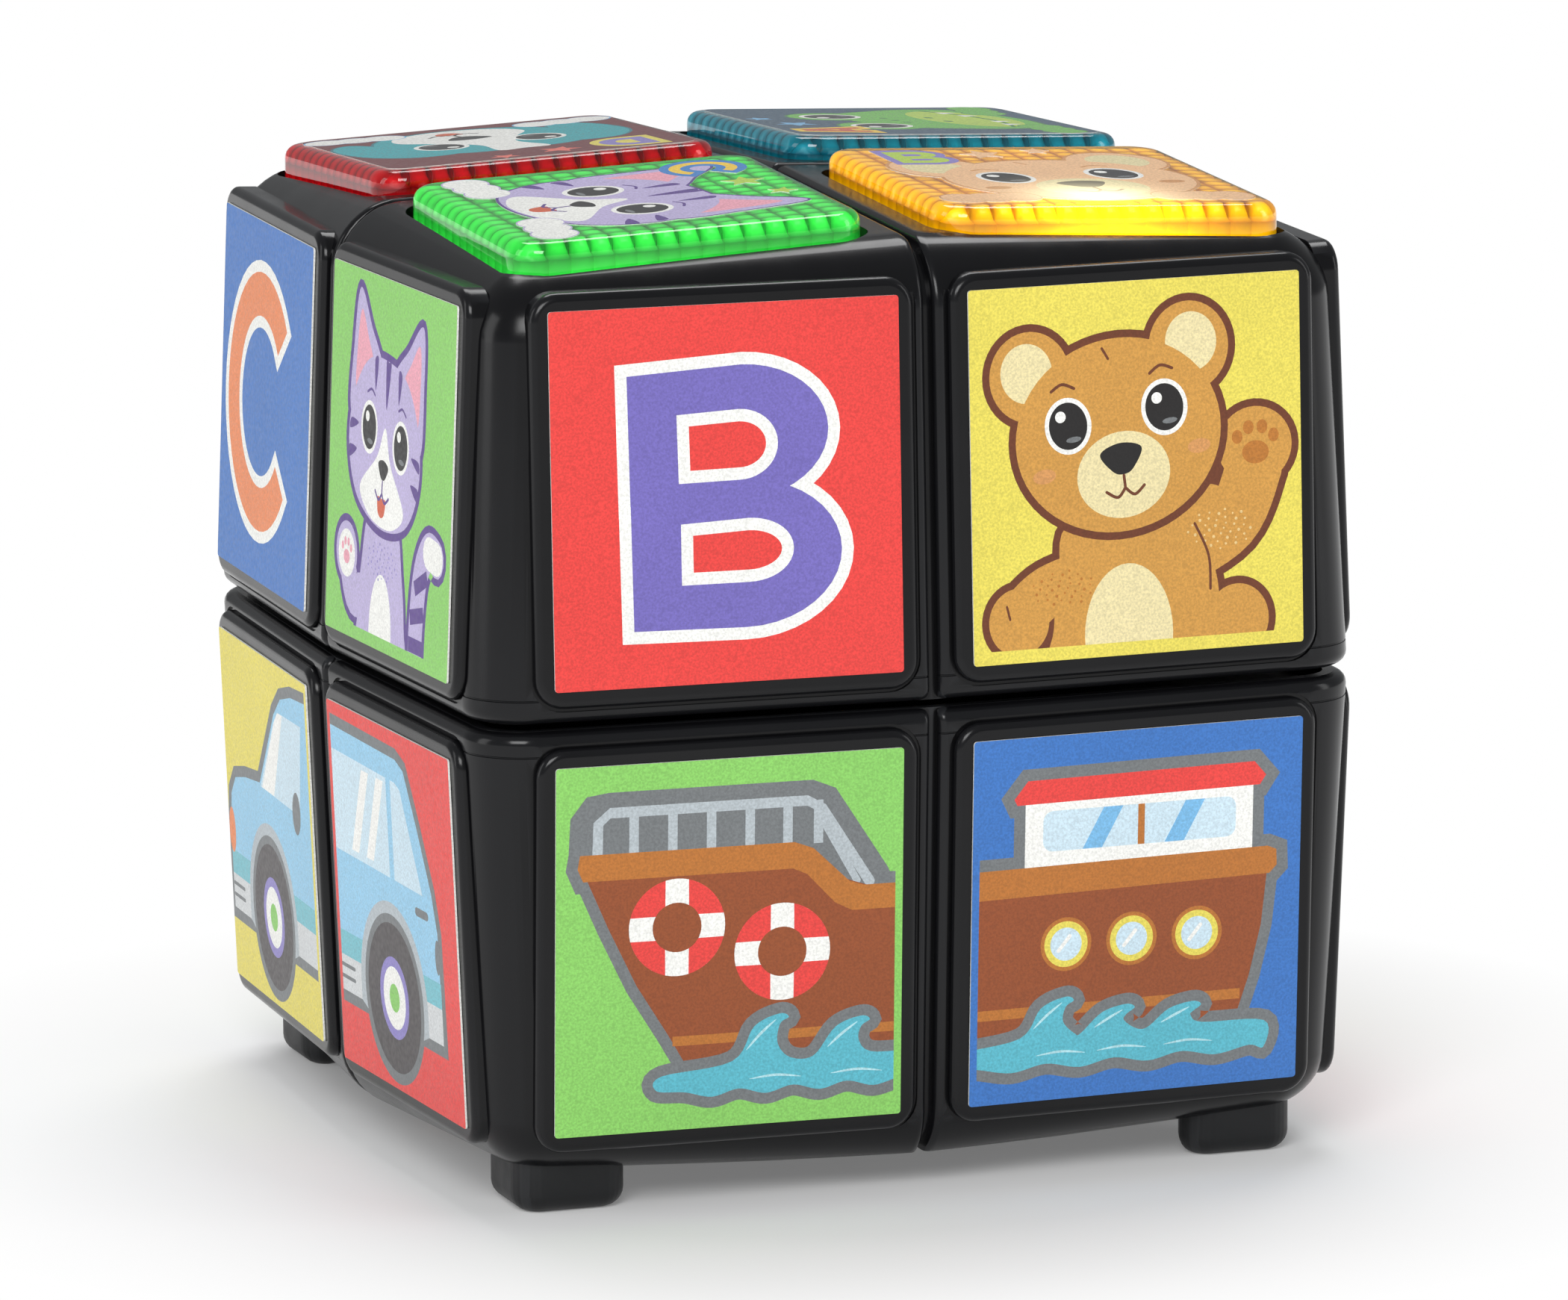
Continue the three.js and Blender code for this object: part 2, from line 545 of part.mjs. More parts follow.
// A knob that shows in the underside's slot, on a plate that slides over the floor inside.
function powerSlider() {
  const { x, y, travel, knob, plate, plateThick } = SLIDER;
  const low = BASE.inside + 0.2;
  const half = knob / 2;
  const slab = box([x - plate / 2, x + plate / 2], [y - travel, y + travel], [low, low + plateThick]);
  let stalk = box([x - half, x + half], [y - half, y + half], [BASE.flat + 0.2, low + 0.5]);
  for (const row of [-1, 0, 1]) {
    const rib = y + row * 1.2;
    stalk = stalk.subtract(box([x - knob, x + knob], [rib - 0.25, rib + 0.25], [0, BASE.flat + 0.6]));
  }
  return slab.add(stalk);
}

function powerSwitchBoard() {
  const { half, long, under, thick } = SWITCH;
  const x = SLIDER.x;
  const board = box([x - half, x + half], [-long, long], [under, under + thick]);
  return board.add(box([x - 4.5, x + 4.5], [-7, 7], [under + thick - 0.2, under + thick + 4]));
}

// A cell along X; its positive nub points to side.
function cell(side) {
  const { radius, long, nub, nubRadius } = CELL;
  const can = new THREE.CylinderGeometry(radius, radius, long - nub, MEDIUM).rotateZ(Math.PI / 2);
  const button = new THREE.CylinderGeometry(nubRadius, nubRadius, 2 * nub, SMALL).rotateZ(Math.PI / 2);
  can.translate((-side * nub) / 2, 0, 0);
  button.translate(side * (long / 2 - nub), 0, 0);
  return solid(can).add(solid(button));
}

// A nickelled plate at one end of the cell bay, with a cone that reaches out to each cell it serves.
function contactPlate(end, cells) {
  const face = BAY.x - 0.2;
  const middle = (BAY.yLow + BAY.yHigh) / 2;
  const sheet = [end * face, end * (face - 0.5)].sort((a, b) => a - b);
  let plate = box(sheet, [middle + Math.min(...cells) - 4, middle + Math.max(...cells) + 4], [9, 18]);
  for (const y of cells) {
    const reach = face - 0.3 - CELL.long / 2 - 0.2;
    const cone = new THREE.CylinderGeometry(2.4, 1.2, reach, SMALL).rotateZ((-end * Math.PI) / 2);
    plate = plate.add(solid(cone.translate(end * (face - 0.3 - reach / 2), middle + y, CELL.z)));
  }
  return plate;
}

// A cross-head screw along +Z; the underside of its head is at z = 0.
function screw() {
  const { head, headTall, shank, long } = SCREW;
  const outline = [[0, -headTall], [head, -headTall], [head, 0], [shank, 0], [shank, long - 1], [0, long]];
  const slot = [-1.7, 1.7];
  const blade = [-0.4, 0.4];
  const deep = [-3, 0.9 - headTall];
  return cut(turned(outline, SMALL), box(slot, blade, deep), box(blade, slot, deep));
}

// ---------------------------------------------------------------- assembly

const cube = new THREE.Group();

const FINISH = {
  shell: { color: 0x17181a, roughness: 0.28, metalness: 0 },
  plate: { color: 0x202225, roughness: 0.5, metalness: 0 },
  foot: { color: 0x222325, roughness: 0.75, metalness: 0 },
  steel: { color: 0xb9bcc0, roughness: 0.35, metalness: 1 },
  bronze: { color: 0xc08a4a, roughness: 0.35, metalness: 1 },
  board: { color: 0x1d6b3c, roughness: 0.5, metalness: 0 },
  white: { color: 0xf2f2ee, roughness: 0.6, metalness: 0 },
  cell: { color: 0x2f6f4a, roughness: 0.35, metalness: 0.2 },
  grey: { color: 0x9a9da0, roughness: 0.5, metalness: 0 },
  orange: { color: 0xf08a2c, roughness: 0.4, metalness: 0 },
};
const BUTTONS = { green: 0x35d24a, yellow: 0xf6b800, blue: 0x1378a8, red: 0xc3101c }; // as QUARTERS goes
const PAPER = { red: 0xe8403f, yellow: 0xeedc52, green: 0x7ecf5a, blue: 0x3b6fc4 };
const BACKINGS = {
  upper: {
    front: ["red", "yellow"],
    right: ["green", "blue"],
    back: ["yellow", "red"],
    left: ["blue", "green"],
  },
  lower: {
    front: ["green", "blue"],
    right: ["red", "yellow"],
    back: ["blue", "green"],
    left: ["yellow", "red"],
  },
};

function add(name, made, finish, { at = [0, 0, 0], turn = 0, matrix = null } = {}) {
  const mesh = new THREE.Mesh(geometryOf(made), new THREE.MeshStandardMaterial(finish));
  mesh.name = name;
  mesh.position.set(...at);
  mesh.rotation.z = turn;
  if (matrix) mesh.applyMatrix4(matrix);
  cube.add(mesh);
}

function addLabels() {
  const sheet = pad(LABEL.width, LABEL.height, LABEL.corner, [0, LABEL.thick]);
  for (const half of ["upper", "lower"]) {
    FACES.forEach((name, face) => {
      ["left", "right"].forEach((place, i) => {
        const finish = { color: PAPER[BACKINGS[half][name][i]], roughness: 0.45, metalness: 0 };
        const matrix = faceMatrix(face, i ? 1 : -1, half === "upper" ? 1 : -1, PANEL.proud + LABEL.glue);
        add(`label_${half}_${name}_${place}`, sheet, finish, { matrix });
      });
    });
  }
}

function addButtons() {
  Object.entries(BUTTONS).forEach(([name, color], i) => {
    const [sx, sy] = QUARTERS[i];
    const turn = Math.atan2(sy, sx) - Math.PI / 4; // points the cap's fall at the cube's corner
    const at = [sx * BUTTON.at, sy * BUTTON.at, 0];
    add(`button_${name}`, button(), { color, roughness: 0.08, metalness: 0 }, { at, turn });
    add(`lamp_${name}`, lamp(), FINISH.white, { at: [...lampSpot(i), 0] });
  });
  add("keypad_membrane", keypadMembrane(), FINISH.white);
}

function addUpperHalf() {
  add("upper_housing", upperHousing(), FINISH.shell);
  add("upper_deck", upperDeck(), FINISH.plate);
  QUARTERS.forEach(([sx, sy], i) => {
    const at = [sx * UPPER_SCREW.at, sy * UPPER_SCREW.at, UPPER_SCREW.seat - 0.05];
    add(`upper_screw_${i + 1}`, screw(), FINISH.steel, { at });
  });
  add("main_board", mainBoard(), FINISH.board);
  add("contact_carrier", contactCarrier(), FINISH.plate);
  SLIP.tracks.forEach((track, i) => {
    add(`contact_finger_${i + 1}`, contactFinger(i % 2 ? -track : track), FINISH.bronze);
  });
  add("detent_plunger", detentPlunger(), FINISH.white);
  add("detent_spring", detentSpring(), FINISH.steel);
}

function addLowerHalf() {
  add("lower_housing", lowerHousing(), FINISH.shell);
  add("lower_deck", lowerDeck(), FINISH.plate);
  add("pivot_retainer", pivotRetainer(), FINISH.white);
  add("slip_ring_board", slipRingBoard(), FINISH.board);
  add("speaker", speaker(), FINISH.grey);
  QUARTERS.forEach(([sx, sy], i) => {
    const at = [sx * LOWER_SCREW.x, sy * LOWER_SCREW.y, LOWER_SCREW.seat - 0.05];
    add(`lower_screw_${i + 1}`, screw(), FINISH.steel, { at });
    const place = `${sy < 0 ? "front" : "back"}_${sx < 0 ? "left" : "right"}`;
    add(`foot_${place}`, foot(sx, sy), FINISH.foot, { at: [sx * FOOT.at, sy * FOOT.at, 0] });
  });
}

function addPowerParts() {
  const middle = (BAY.yLow + BAY.yHigh) / 2;
  const { pitch, z } = CELL;
  add("battery_cell_1", cell(1), FINISH.cell, { at: [0, middle - pitch, z] });
  add("battery_cell_2", cell(-1), FINISH.cell, { at: [0, middle + pitch, z] });
  add("battery_contact_link", contactPlate(-1, [-pitch, pitch]), FINISH.steel);
  add("battery_contact_plus", contactPlate(1, [-pitch]), FINISH.steel);
  add("battery_contact_minus", contactPlate(1, [pitch]), FINISH.steel);
  add("battery_door", batteryDoor(), FINISH.plate);
  add("battery_door_screw", screw(), FINISH.steel, { at: [0, DOOR_SCREW.y, DOOR_SCREW.seat - 0.05] });
  add("power_slider", powerSlider(), FINISH.orange);
  add("power_switch_board", powerSwitchBoard(), FINISH.board);
}

addUpperHalf();
addButtons();
addLowerHalf();
addPowerParts();
addLabels();

export default cube;
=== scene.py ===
import json
import math

import bmesh
import bpy
import numpy as np
from mathutils import Matrix, Vector
from mathutils.geometry import delaunay_2d_cdt


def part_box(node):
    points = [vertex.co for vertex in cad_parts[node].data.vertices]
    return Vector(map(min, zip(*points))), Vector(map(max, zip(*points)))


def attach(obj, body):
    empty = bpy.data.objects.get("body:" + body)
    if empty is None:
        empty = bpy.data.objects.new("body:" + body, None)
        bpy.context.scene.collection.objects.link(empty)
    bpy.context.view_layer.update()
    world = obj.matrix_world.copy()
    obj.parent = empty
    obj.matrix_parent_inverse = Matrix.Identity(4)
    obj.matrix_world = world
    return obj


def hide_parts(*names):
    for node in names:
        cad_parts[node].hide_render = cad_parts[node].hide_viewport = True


# A baby's twist-and-match activity cube: the looks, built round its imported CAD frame. Pieces are made in
# millimetres and brought to metres at the end. The front faces -Y, and Z is the axis of the twist.

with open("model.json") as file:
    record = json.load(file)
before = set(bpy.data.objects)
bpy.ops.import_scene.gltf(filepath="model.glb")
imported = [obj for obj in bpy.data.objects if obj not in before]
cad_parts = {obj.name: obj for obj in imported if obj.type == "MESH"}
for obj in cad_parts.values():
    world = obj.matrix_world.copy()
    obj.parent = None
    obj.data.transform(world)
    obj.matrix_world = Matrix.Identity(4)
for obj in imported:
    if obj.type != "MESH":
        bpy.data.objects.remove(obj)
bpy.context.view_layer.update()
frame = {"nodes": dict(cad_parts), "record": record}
MM = 0.001

# ---------------------------------------------------------------- driving dimensions, in millimetres

MID = (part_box("upper_housing")[0].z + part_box("lower_housing")[1].z) / 2 / MM
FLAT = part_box("battery_door")[0].z / MM  # the underside's flat
COLUMN = 26.5  # from the twist axis to the middle of a panel
ROW = 27.65  # from the mid plane to the middle of a panel
LEAN = math.tan(math.radians(2.35))  # how fast each outer face falls away from its centre

SIDE = 57.5  # half width of the body at the middle of a panel
TOP = 56.9  # mid plane to the top face at the middle of a button
BOTTOM = 58.2
CORNER = 7.2  # radius of the upright edges
EDGE = {1: 8.2, -1: 7.0}  # radius of the top edges, and of the bottom ones
LIP = 0.5  # half the gap between the halves
LIP_ROUND = 1.7
SEAM = 0.55  # half the width of the grooves that quarter the faces
SEAM_DEPTH = 1.6
SEAM_ROUND = 1.0
WALL = 3.0
PARTING = dict(at=3.6, floor=0.05, mouth=0.14, depth=0.1)  # the mould's parting line, from the mid plane
DRAW_IN = 0.75  # share of a rounded edge's draw-in that also comes off the upright edges' radius

PANEL = dict(width=48.5, height=50.5, corner=3.6, proud=1.2, fillet=1.1)
MOAT = dict(width=0.45, depth=0.35)
LABEL = dict(width=44.1, height=46.1, corner=0.4, thick=0.25, glue=0.05)
CAP = dict(at=27.4, size=45.2, corner=4.5, proud=2.8, thick=5.0, fillet=1.6)
BUMP = dict(pitch=2.8, tall=1.1, rows=15, steps=6, flute=0.5, cover=1.2, deep=3.5, dimmest=0.3)
POCKET = dict(gap=0.9, ledge=111.5, window=39.0, corner=3.0, roof_under=108.5)
FOOT = dict(size=14.4, corner=3.6, fillet=2.4, reach=14.8, at=44.0, tall=6.95)
UPPER_POST = dict(at=44.0, radius=4.2, low=66.8)
LOWER_POST = dict(x=46.0, y=20.0, radius=5.0, bore=3.4, hole=1.7, high=48.0)
SCREW_HOLE = 1.5
DOOR_GAP = 0.35
BAY = dict(half=29.0, roof=22.0, cells=(-29.0, -5.0), step=2.5, screw=-0.5)
GRILLE = dict(at=30.0, pitch=5.5, rings=3, hole=1.2)
SLOT = dict(opening=((-43.5, -38.5), (-5.5, 5.5)), recess=((-45.0, -37.0), (-7.0, 7.0)))
FAR = 80.0  # well outside the toy on every side

QUARTERS = {"green": (-1, -1), "yellow": (1, -1), "blue": (1, 1), "red": (-1, 1)}
FACES = ["front", "right", "back", "left"]

# ---------------------------------------------------------------- colours


def rgb(code):
    """A linear colour from a hex code."""
    parts = [int(code[i : i + 2], 16) / 255 for i in (0, 2, 4)]
    return tuple(p / 12.92 if p <= 0.04045 else ((p + 0.055) / 1.055) ** 2.4 for p in parts) + (1.0,)


INK = {
    "red": "E9443F", "yellow": "EADB5E", "green": "8CD066", "blue": "3C76C2", "white": "F7F7F2",
    "purple": "776CBC", "orange": "EE8A52", "black": "201E1E", "grey": "767A7C", "pale_grey": "B6BFC4",
    "dark_grey": "4A5056", "silver": "D6D9DA", "fur": "D29A48", "fur_dark": "BC7830", "bark": "6E3A22",
    "cream": "EEE0AC", "sand": "EACB8C", "clay": "D89A5C", "peach": "FAC896", "pink": "F0A8B8",
    "sky": "7CBCE8", "glass": "CFE6F2", "deep_sky": "3F84C8", "sea": "78C2CE",
    "lavender": "C0B4DC", "plum": "5B3F8C", "lilac": "8F84C8", "tongue": "D4603C", "wood": "964E28",
    "rim": "BC7430", "wave": "5CBACC", "foam": "B4E2EA", "car": "98CEEC", "lime": "B8D650", "teal": "30A8B0",
    "teal_dark": "1C7C88", "gator": "70BE4C", "gator_dark": "3E8A34", "sun": "F4CC44", "tyre": "4A4546",
    "rose": "F07868", "night": "2C5068", "wine": "6E2024",
}
INK = {name: rgb(code) for name, code in INK.items()}

# For each cap: the tint of its clear body, its bumps on top and between them (painted shade), and whether its
# lamp is alight.
CAP_INKS = {
    "green": ("B0F4B8", "48E85C", "128A30", False),
    "yellow": ("FFEFA0", "FFCC10", "C07C00", True),
    "blue": ("88CCD4", "1E94A4", "0A4456", False),
    "red": ("F08080", "C41824", "5C060C", False),
}

# ---------------------------------------------------------------- meshes


def in_scene(name, data):
    """An object with a mesh, light or camera as its data."""
    obj = bpy.data.objects.new(name, data)
    bpy.context.scene.collection.objects.link(obj)
    return obj


def mesh_object(name, points, faces):
    mesh = bpy.data.meshes.new(name)
    mesh.from_pydata([tuple(p) for p in points], [], faces)
    shape = bmesh.new()
    shape.from_mesh(mesh)
    bmesh.ops.recalc_face_normals(shape, faces=shape.faces)
    shape.to_mesh(mesh)
    shape.free()
    return in_scene(name, mesh)


def loft(name, rings, low_middle=None, high_middle=None):
    """A closed body through rings of equally many points. An end is flat, or fans out from its middle."""
    count = len(rings[0])
    points = [p for ring in rings for p in ring]
    faces = []
    for level in range(len(rings) - 1):
        for i in range(count):
            j = (i + 1) % count
            a, b = level * count, (level + 1) * count
            faces.append((a + i, a + j, b + j, b + i))
    for middle, start in ((low_middle, 0), (high_middle, (len(rings) - 1) * count)):
        if middle is None:
            faces.append(tuple(range(start, start + count)))
            continue
        points.append(middle)
        faces += [(len(points) - 1, start + i, start + (i + 1) % count) for i in range(count)]
    return mesh_object(name, points, faces)


def combine(obj, tool, operation):
    """Joins tool to obj, cuts it away or keeps what they share, and uses tool up."""
    modifier = obj.modifiers.new("combine", "BOOLEAN")
    modifier.solver = "MANIFOLD"
    modifier.operation = operation
    modifier.object = tool
    settled = obj.evaluated_get(bpy.context.evaluated_depsgraph_get())
    mesh = bpy.data.meshes.new_from_object(settled)
    obj.modifiers.clear()
    obj.data = mesh
    bpy.data.objects.remove(tool)
    return obj


def add(obj, *tools):
    for tool in tools:
        combine(obj, tool, "UNION")
    return obj


def cut(obj, *tools):
    for tool in tools:
        combine(obj, tool, "DIFFERENCE")
    return obj


def placed(obj, matrix):
    obj.data.transform(matrix)
    return obj


def copy_of(obj, name, matrix):
    return placed(in_scene(name, obj.data.copy()), matrix)


def smooth(obj, angle=32):
    """Smooth shading that keeps edges sharper than angle."""
    shape = bmesh.new()
    shape.from_mesh(obj.data)
    for face in shape.faces:
        face.smooth = True
    for edge in shape.edges:
        edge.smooth = len(edge.link_faces) == 2 and edge.calc_face_angle(0) < math.radians(angle)
    shape.to_mesh(obj.data)
    shape.free()
    weighted = obj.modifiers.new("weighted", "WEIGHTED_NORMAL")
    weighted.keep_sharp = True
    weighted.weight = 80


def finish_piece(obj, name, body, nodes=(), materials=(), angle=32):
    """Names a piece made in millimetres, brings it to metres, sets what it rides on and hides the CAD nodes
    it stands for.
    """
    obj.name = name
    obj.data.name = name
    obj.data.transform(Matrix.Scale(MM, 4))
    obj.data.materials.clear()
    for material in materials:
        obj.data.materials.append(material)
    smooth(obj, angle)
    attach(obj, body)
    if nodes:
        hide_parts(*nodes)
    return obj


def arc(centre, radius, start, end, steps):
    """Points round an arc; angles in degrees."""
    angles = [math.radians(start + (end - start) * i / steps) for i in range(steps + 1)]
    return [(centre[0] + radius * math.cos(a), centre[1] + radius * math.sin(a)) for a in angles]


def round_square(width, height, corner, steps=7):
    x, y = width / 2 - corner, height / 2 - corner
    turns = [((x, -y), -90), ((x, y), 0), ((-x, y), 90), ((-x, -y), 180)]
    return [p for centre, start in turns for p in arc(centre, corner, start, start + 90, steps)]


def pad(width, height, corner, low, high, fillet=0.0, steps=5, name="pad"):
    """A rounded square from low to high whose top edge can be rounded too."""
    if not fillet:
        outline = round_square(width, height, corner)
        return loft(name, [[(x, y, z) for x, y in outline] for z in (low, high)])
    rings = [[(x, y, low) for x, y in round_square(width, height, corner)]]
    for i in range(steps + 1):
        angle = math.pi / 2 * i / steps
        inset = fillet * (1 - math.cos(angle))
        z = high - fillet * (1 - math.sin(angle))
        outline = round_square(width - 2 * inset, height - 2 * inset, max(corner - inset, 0.3))
        rings.append([(x, y, z) for x, y in outline])
    return loft(name, rings)


def block(x, y, z):
    """A plain block between pairs of limits, used as a cutter or a hidden wall."""
    corners = [(x[0], y[0]), (x[1], y[0]), (x[1], y[1]), (x[0], y[1])]
    return loft("block", [[(*c, h) for c in corners] for h in z])


def rod(x, y, radius, z, sides=32):
    circle = [(x + px, y + py) for px, py in arc((0, 0), radius, 0, 360 - 360 / sides, sides - 1)]
    return loft("rod", [[(*p, h) for p in circle] for h in z])


# ---------------------------------------------------------------- the pillow shape


def cap_height(end):
    return TOP if end > 0 else BOTTOM


def pillow(x, y, z, end):
    """Moves a point of the flat-sided cube so that every outer face bulges towards its centre."""
    u, v, w = abs(x), abs(y), abs(z - MID)
    along_x = 1 - LEAN / SIDE * (v - COLUMN + w - ROW)
    along_y = 1 - LEAN / SIDE * (u - COLUMN + w - ROW)
    along_z = 1 - LEAN / cap_height(end) * (u - COLUMN + v - COLUMN)
    return (x * along_x, y * along_y, MID + (z - MID) * along_z)


def round_over(depth, radius):
    """How far a rounded edge has drawn in at a depth above where it starts."""
    if depth <= 0:
        return 0.0
    return radius - math.sqrt(max(radius * radius - min(depth, radius) ** 2, 0.0))


def levels(end, shrink, start):
    """(height from the mid plane, draw-in of the outer sides, draw-in of the seams) for each ring."""
    cap = cap_height(end) - shrink
    edge = EDGE[end] - shrink
    fine = shrink == 0
    heights = {cap - edge + edge * math.sin(math.pi / 2 * i / 10) for i in range(11)}
    if fine:
        heights |= {start + LIP_ROUND * (1 - math.cos(math.pi / 2 * i / 5)) for i in range(6)}
        heights |= {cap - SEAM_ROUND + SEAM_ROUND * math.sin(math.pi / 2 * i / 4) for i in range(5)}
        groove = [PARTING["floor"], PARTING["mouth"]]
        heights |= {PARTING["at"] + sign * half for sign in (-1, 1) for half in groove}
    else:
        heights.add(start)
    rows = []
    for h in sorted(heights):
        side = round_over(h - (cap - edge), edge)
        seam = 0.0
        if fine:
            side += round_over(start + LIP_ROUND - h, LIP_ROUND)
            seam = round_over(start + LIP_ROUND / 2 - h, LIP_ROUND / 2)
            seam += round_over(h - (cap - SEAM_ROUND), SEAM_ROUND)
            side += PARTING["depth"] if abs(h - PARTING["at"]) < 2 * PARTING["floor"] else 0.0
        rows.append((h, side, seam))
    return rows


def quarter(signs, end):
    """One rounded quarter of a half, set back from the seams."""
    rings = []
    for height, side_in, seam_in in levels(end, 0.0, LIP):
        low, high = SEAM + seam_in, SIDE - side_in
        outer = max(CORNER - DRAW_IN * side_in, 1.2)
        outline = arc((low + 0.4, low + 0.4), 0.4, 180, 270, 1)
        outline += arc((high - SEAM_ROUND, low + SEAM_ROUND), SEAM_ROUND, 270, 360, 5)
        outline += arc((high - outer, high - outer), outer, 0, 90, 12)
        outline += arc((low + SEAM_ROUND, high - SEAM_ROUND), SEAM_ROUND, 90, 180, 5)
        rings.append([pillow(signs[0] * x, signs[1] * y, MID + end * height, end) for x, y in outline])
    return loft("quarter", rings)


def core(end, shrink, start):
    """The whole half in one piece with its outer faces moved in by shrink."""
    rings = []
    for height, side_in, _ in levels(end, shrink, start):
        high = SIDE - shrink - side_in
        outer = max(CORNER - shrink - DRAW_IN * side_in, 0.8)
        bend = [(high, 0)] + arc((high - outer, high - outer), outer, 0, 90, 8)
        outline = bend + [(-y, x) for x, y in bend]
        outline += [(-x, -y) for x, y in outline]
        rings.append([pillow(x, y, MID + end * height, end) for x, y in outline])
    tip = cap_height(end) - shrink
    middles = [pillow(0, 0, MID + end * h, end) for h in (start, tip)]
    return loft("core", rings, *middles)


def face_matrix(face, column, row, out):
    """Stands a flat-lying piece on a quarter of a face, with its +Z out and leaning as that quarter does."""
    normal = Vector((column * LEAN, -1, row * LEAN)).normalized()
    across = Vector((1, column * LEAN, 0)).normalized()
    up = normal.cross(across)
    middle = Vector((column * COLUMN, -SIDE, MID + row * ROW)) + normal * out
    place = Matrix((across, up, normal)).transposed().to_4x4()
    place.translation = middle
    return Matrix.Rotation(face * math.pi / 2, 4, "Z") @ place


def half_shell(end):
    """The outside of one half: four quarters on a core, and eight panels in their moats."""
    shell = core(end, SEAM_DEPTH, LIP)
    add(shell, *[quarter(signs, end) for signs in QUARTERS.values()])
    rim = 2 * MOAT["width"]
    plate = pad(PANEL["width"], PANEL["height"], PANEL["corner"], -2, PANEL["proud"], PANEL["fillet"])
    moat = pad(PANEL["width"] + rim, PANEL["height"] + rim, PANEL["corner"] + rim / 2, -MOAT["depth"], 3)
    for face in range(4):
        for column in (-1, 1):
            matrix = face_matrix(face, column, end, 0)
            cut(shell, copy_of(moat, "moat", matrix))
            add(shell, copy_of(plate, "plate", matrix))
    bpy.data.objects.remove(plate)
    bpy.data.objects.remove(moat)
    return shell


# ---------------------------------------------------------------- housings


def slab(low, high):
    """Everything between two heights, as a cutter."""
    return block((-FAR, FAR), (-FAR, FAR), (low, high))


def upper_housing(materials):
    shell = half_shell(1)
    cut(shell, cut(core(1, WALL, -1), slab(POCKET["roof_under"], 130)))
    size = CAP["size"] + 2 * POCKET["gap"]
    for sx, sy in QUARTERS.values():
        spot = Matrix.Translation((sx * CAP["at"], sy * CAP["at"], 0))
        cut(shell, placed(pad(size, size, CAP["corner"] + 0.6, POCKET["ledge"], 130), spot))
        window = pad(POCKET["window"], POCKET["window"], POCKET["corner"], 100, POCKET["ledge"] + 1)
        cut(shell, placed(window, spot))
        x, y = sx * UPPER_POST["at"], sy * UPPER_POST["at"]
        add(shell, rod(x, y, UPPER_POST["radius"], (UPPER_POST["low"], POCKET["roof_under"] + 0.5), 20))
        cut(shell, rod(x, y, SCREW_HOLE, (MID, 80), 12))
    return finish_piece(shell, "upper_shell", "upper_half", ["upper_housing"], materials)


def battery_bay(shell):
    """The wall round the cells, the opening for the door, and the boss for the door's screw."""
    door_low, door_high = (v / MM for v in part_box("battery_door"))
    side, front, back = door_high.x + DOOR_GAP, door_low.y - DOOR_GAP, door_high.y + DOOR_GAP
    half = BAY["half"]
    add(shell, block((-half, half), (front, back + 2), (FLAT + 1, BAY["roof"])))
    cut(shell, block((2 - half, half - 2), BAY["cells"], (0, BAY["roof"] - 2)))
    cut(shell, block((-side, side), (front, back), (0, FLAT + BAY["step"])))
    cut(shell, rod(0, BAY["screw"], 4.8, (0, 8.7), 24), rod(0, BAY["screw"], 1.5, (0, 17), 12))


def grille(shell):
    """Sound holes in rings of six, twelve and so on about one in the middle."""
    for row in range(GRILLE["rings"]):
        count, out = max(1, row * 6), row * GRILLE["pitch"]
        for i in range(count):
            angle = 2 * math.pi * i / count
            x, y = out * math.cos(angle), GRILLE["at"] + out * math.sin(angle)
            cut(shell, rod(x, y, GRILLE["hole"], (0, 10), 12))


def lower_housing(materials):
    shell = half_shell(-1)
    cut(shell, cut(core(-1, WALL, -1), slab(-10, FLAT + 3)), slab(-10, FLAT))
    battery_bay(shell)
    for sx in (-1, 1):
        for sy in (-1, 1):
            x, y = sx * LOWER_POST["x"], sy * LOWER_POST["y"]
            add(shell, rod(x, y, LOWER_POST["radius"], (FLAT + 2, LOWER_POST["high"]), 24))
            cut(shell, rod(x, y, LOWER_POST["bore"], (0, 46), 32))
            cut(shell, rod(x, y, LOWER_POST["hole"], (0, MID), 12))
            cut(shell, foot_shape((sx, sy), [(-0.3, 0), (-0.3, 7)]))
    grille(shell)
    cut(shell, block(*SLOT["opening"], (0, 9)), block(*SLOT["recess"], (0, FLAT + 1)))
    return finish_piece(shell, "lower_shell", "lower_half", ["lower_housing"], materials)


def foot_outline(inset):
    """A rounded square whose inner corner is cut to an arc about the outer corner, at (+half, +half)."""
    half = FOOT["size"] / 2
    side = 2 * (half - inset)
    outline = round_square(side, side, max(FOOT["corner"] - inset, 0.5))
    points = []
    for (x0, y0), (x1, y1) in zip(outline, outline[1:] + outline[:1]):
        for share in (0, 0.25, 0.5, 0.75):
            x, y = half - x0 - share * (x1 - x0), half - y0 - share * (y1 - y0)
            pull = min(1, (FOOT["reach"] - inset) / math.hypot(x, y))
            points.append((half - x * pull, half - y * pull))
    return points


def foot_shape(signs, levels_of):
    """A body on a foot's outline through (inset, height) levels, under one quarter."""
    rings = [[(signs[0] * (x + FOOT["at"]), signs[1] * (y + FOOT["at"]), z) for x, y in foot_outline(inset)]
             for inset, z in levels_of]
    return loft("foot", rings)


def feet(materials):
    curve = [math.pi / 2 * i / 6 for i in range(7)]
    profile = [(FOOT["fillet"] * (1 - math.sin(a)), FOOT["fillet"] * (1 - math.cos(a))) for a in curve]
    profile.append((0, FOOT["tall"]))
    for name, signs in zip(("front_left", "front_right", "back_right", "back_left"), QUARTERS.values()):
        foot = foot_shape(signs, profile)
        finish_piece(foot, f"{name}_foot", "lower_half", [f"foot_{name}"], materials)


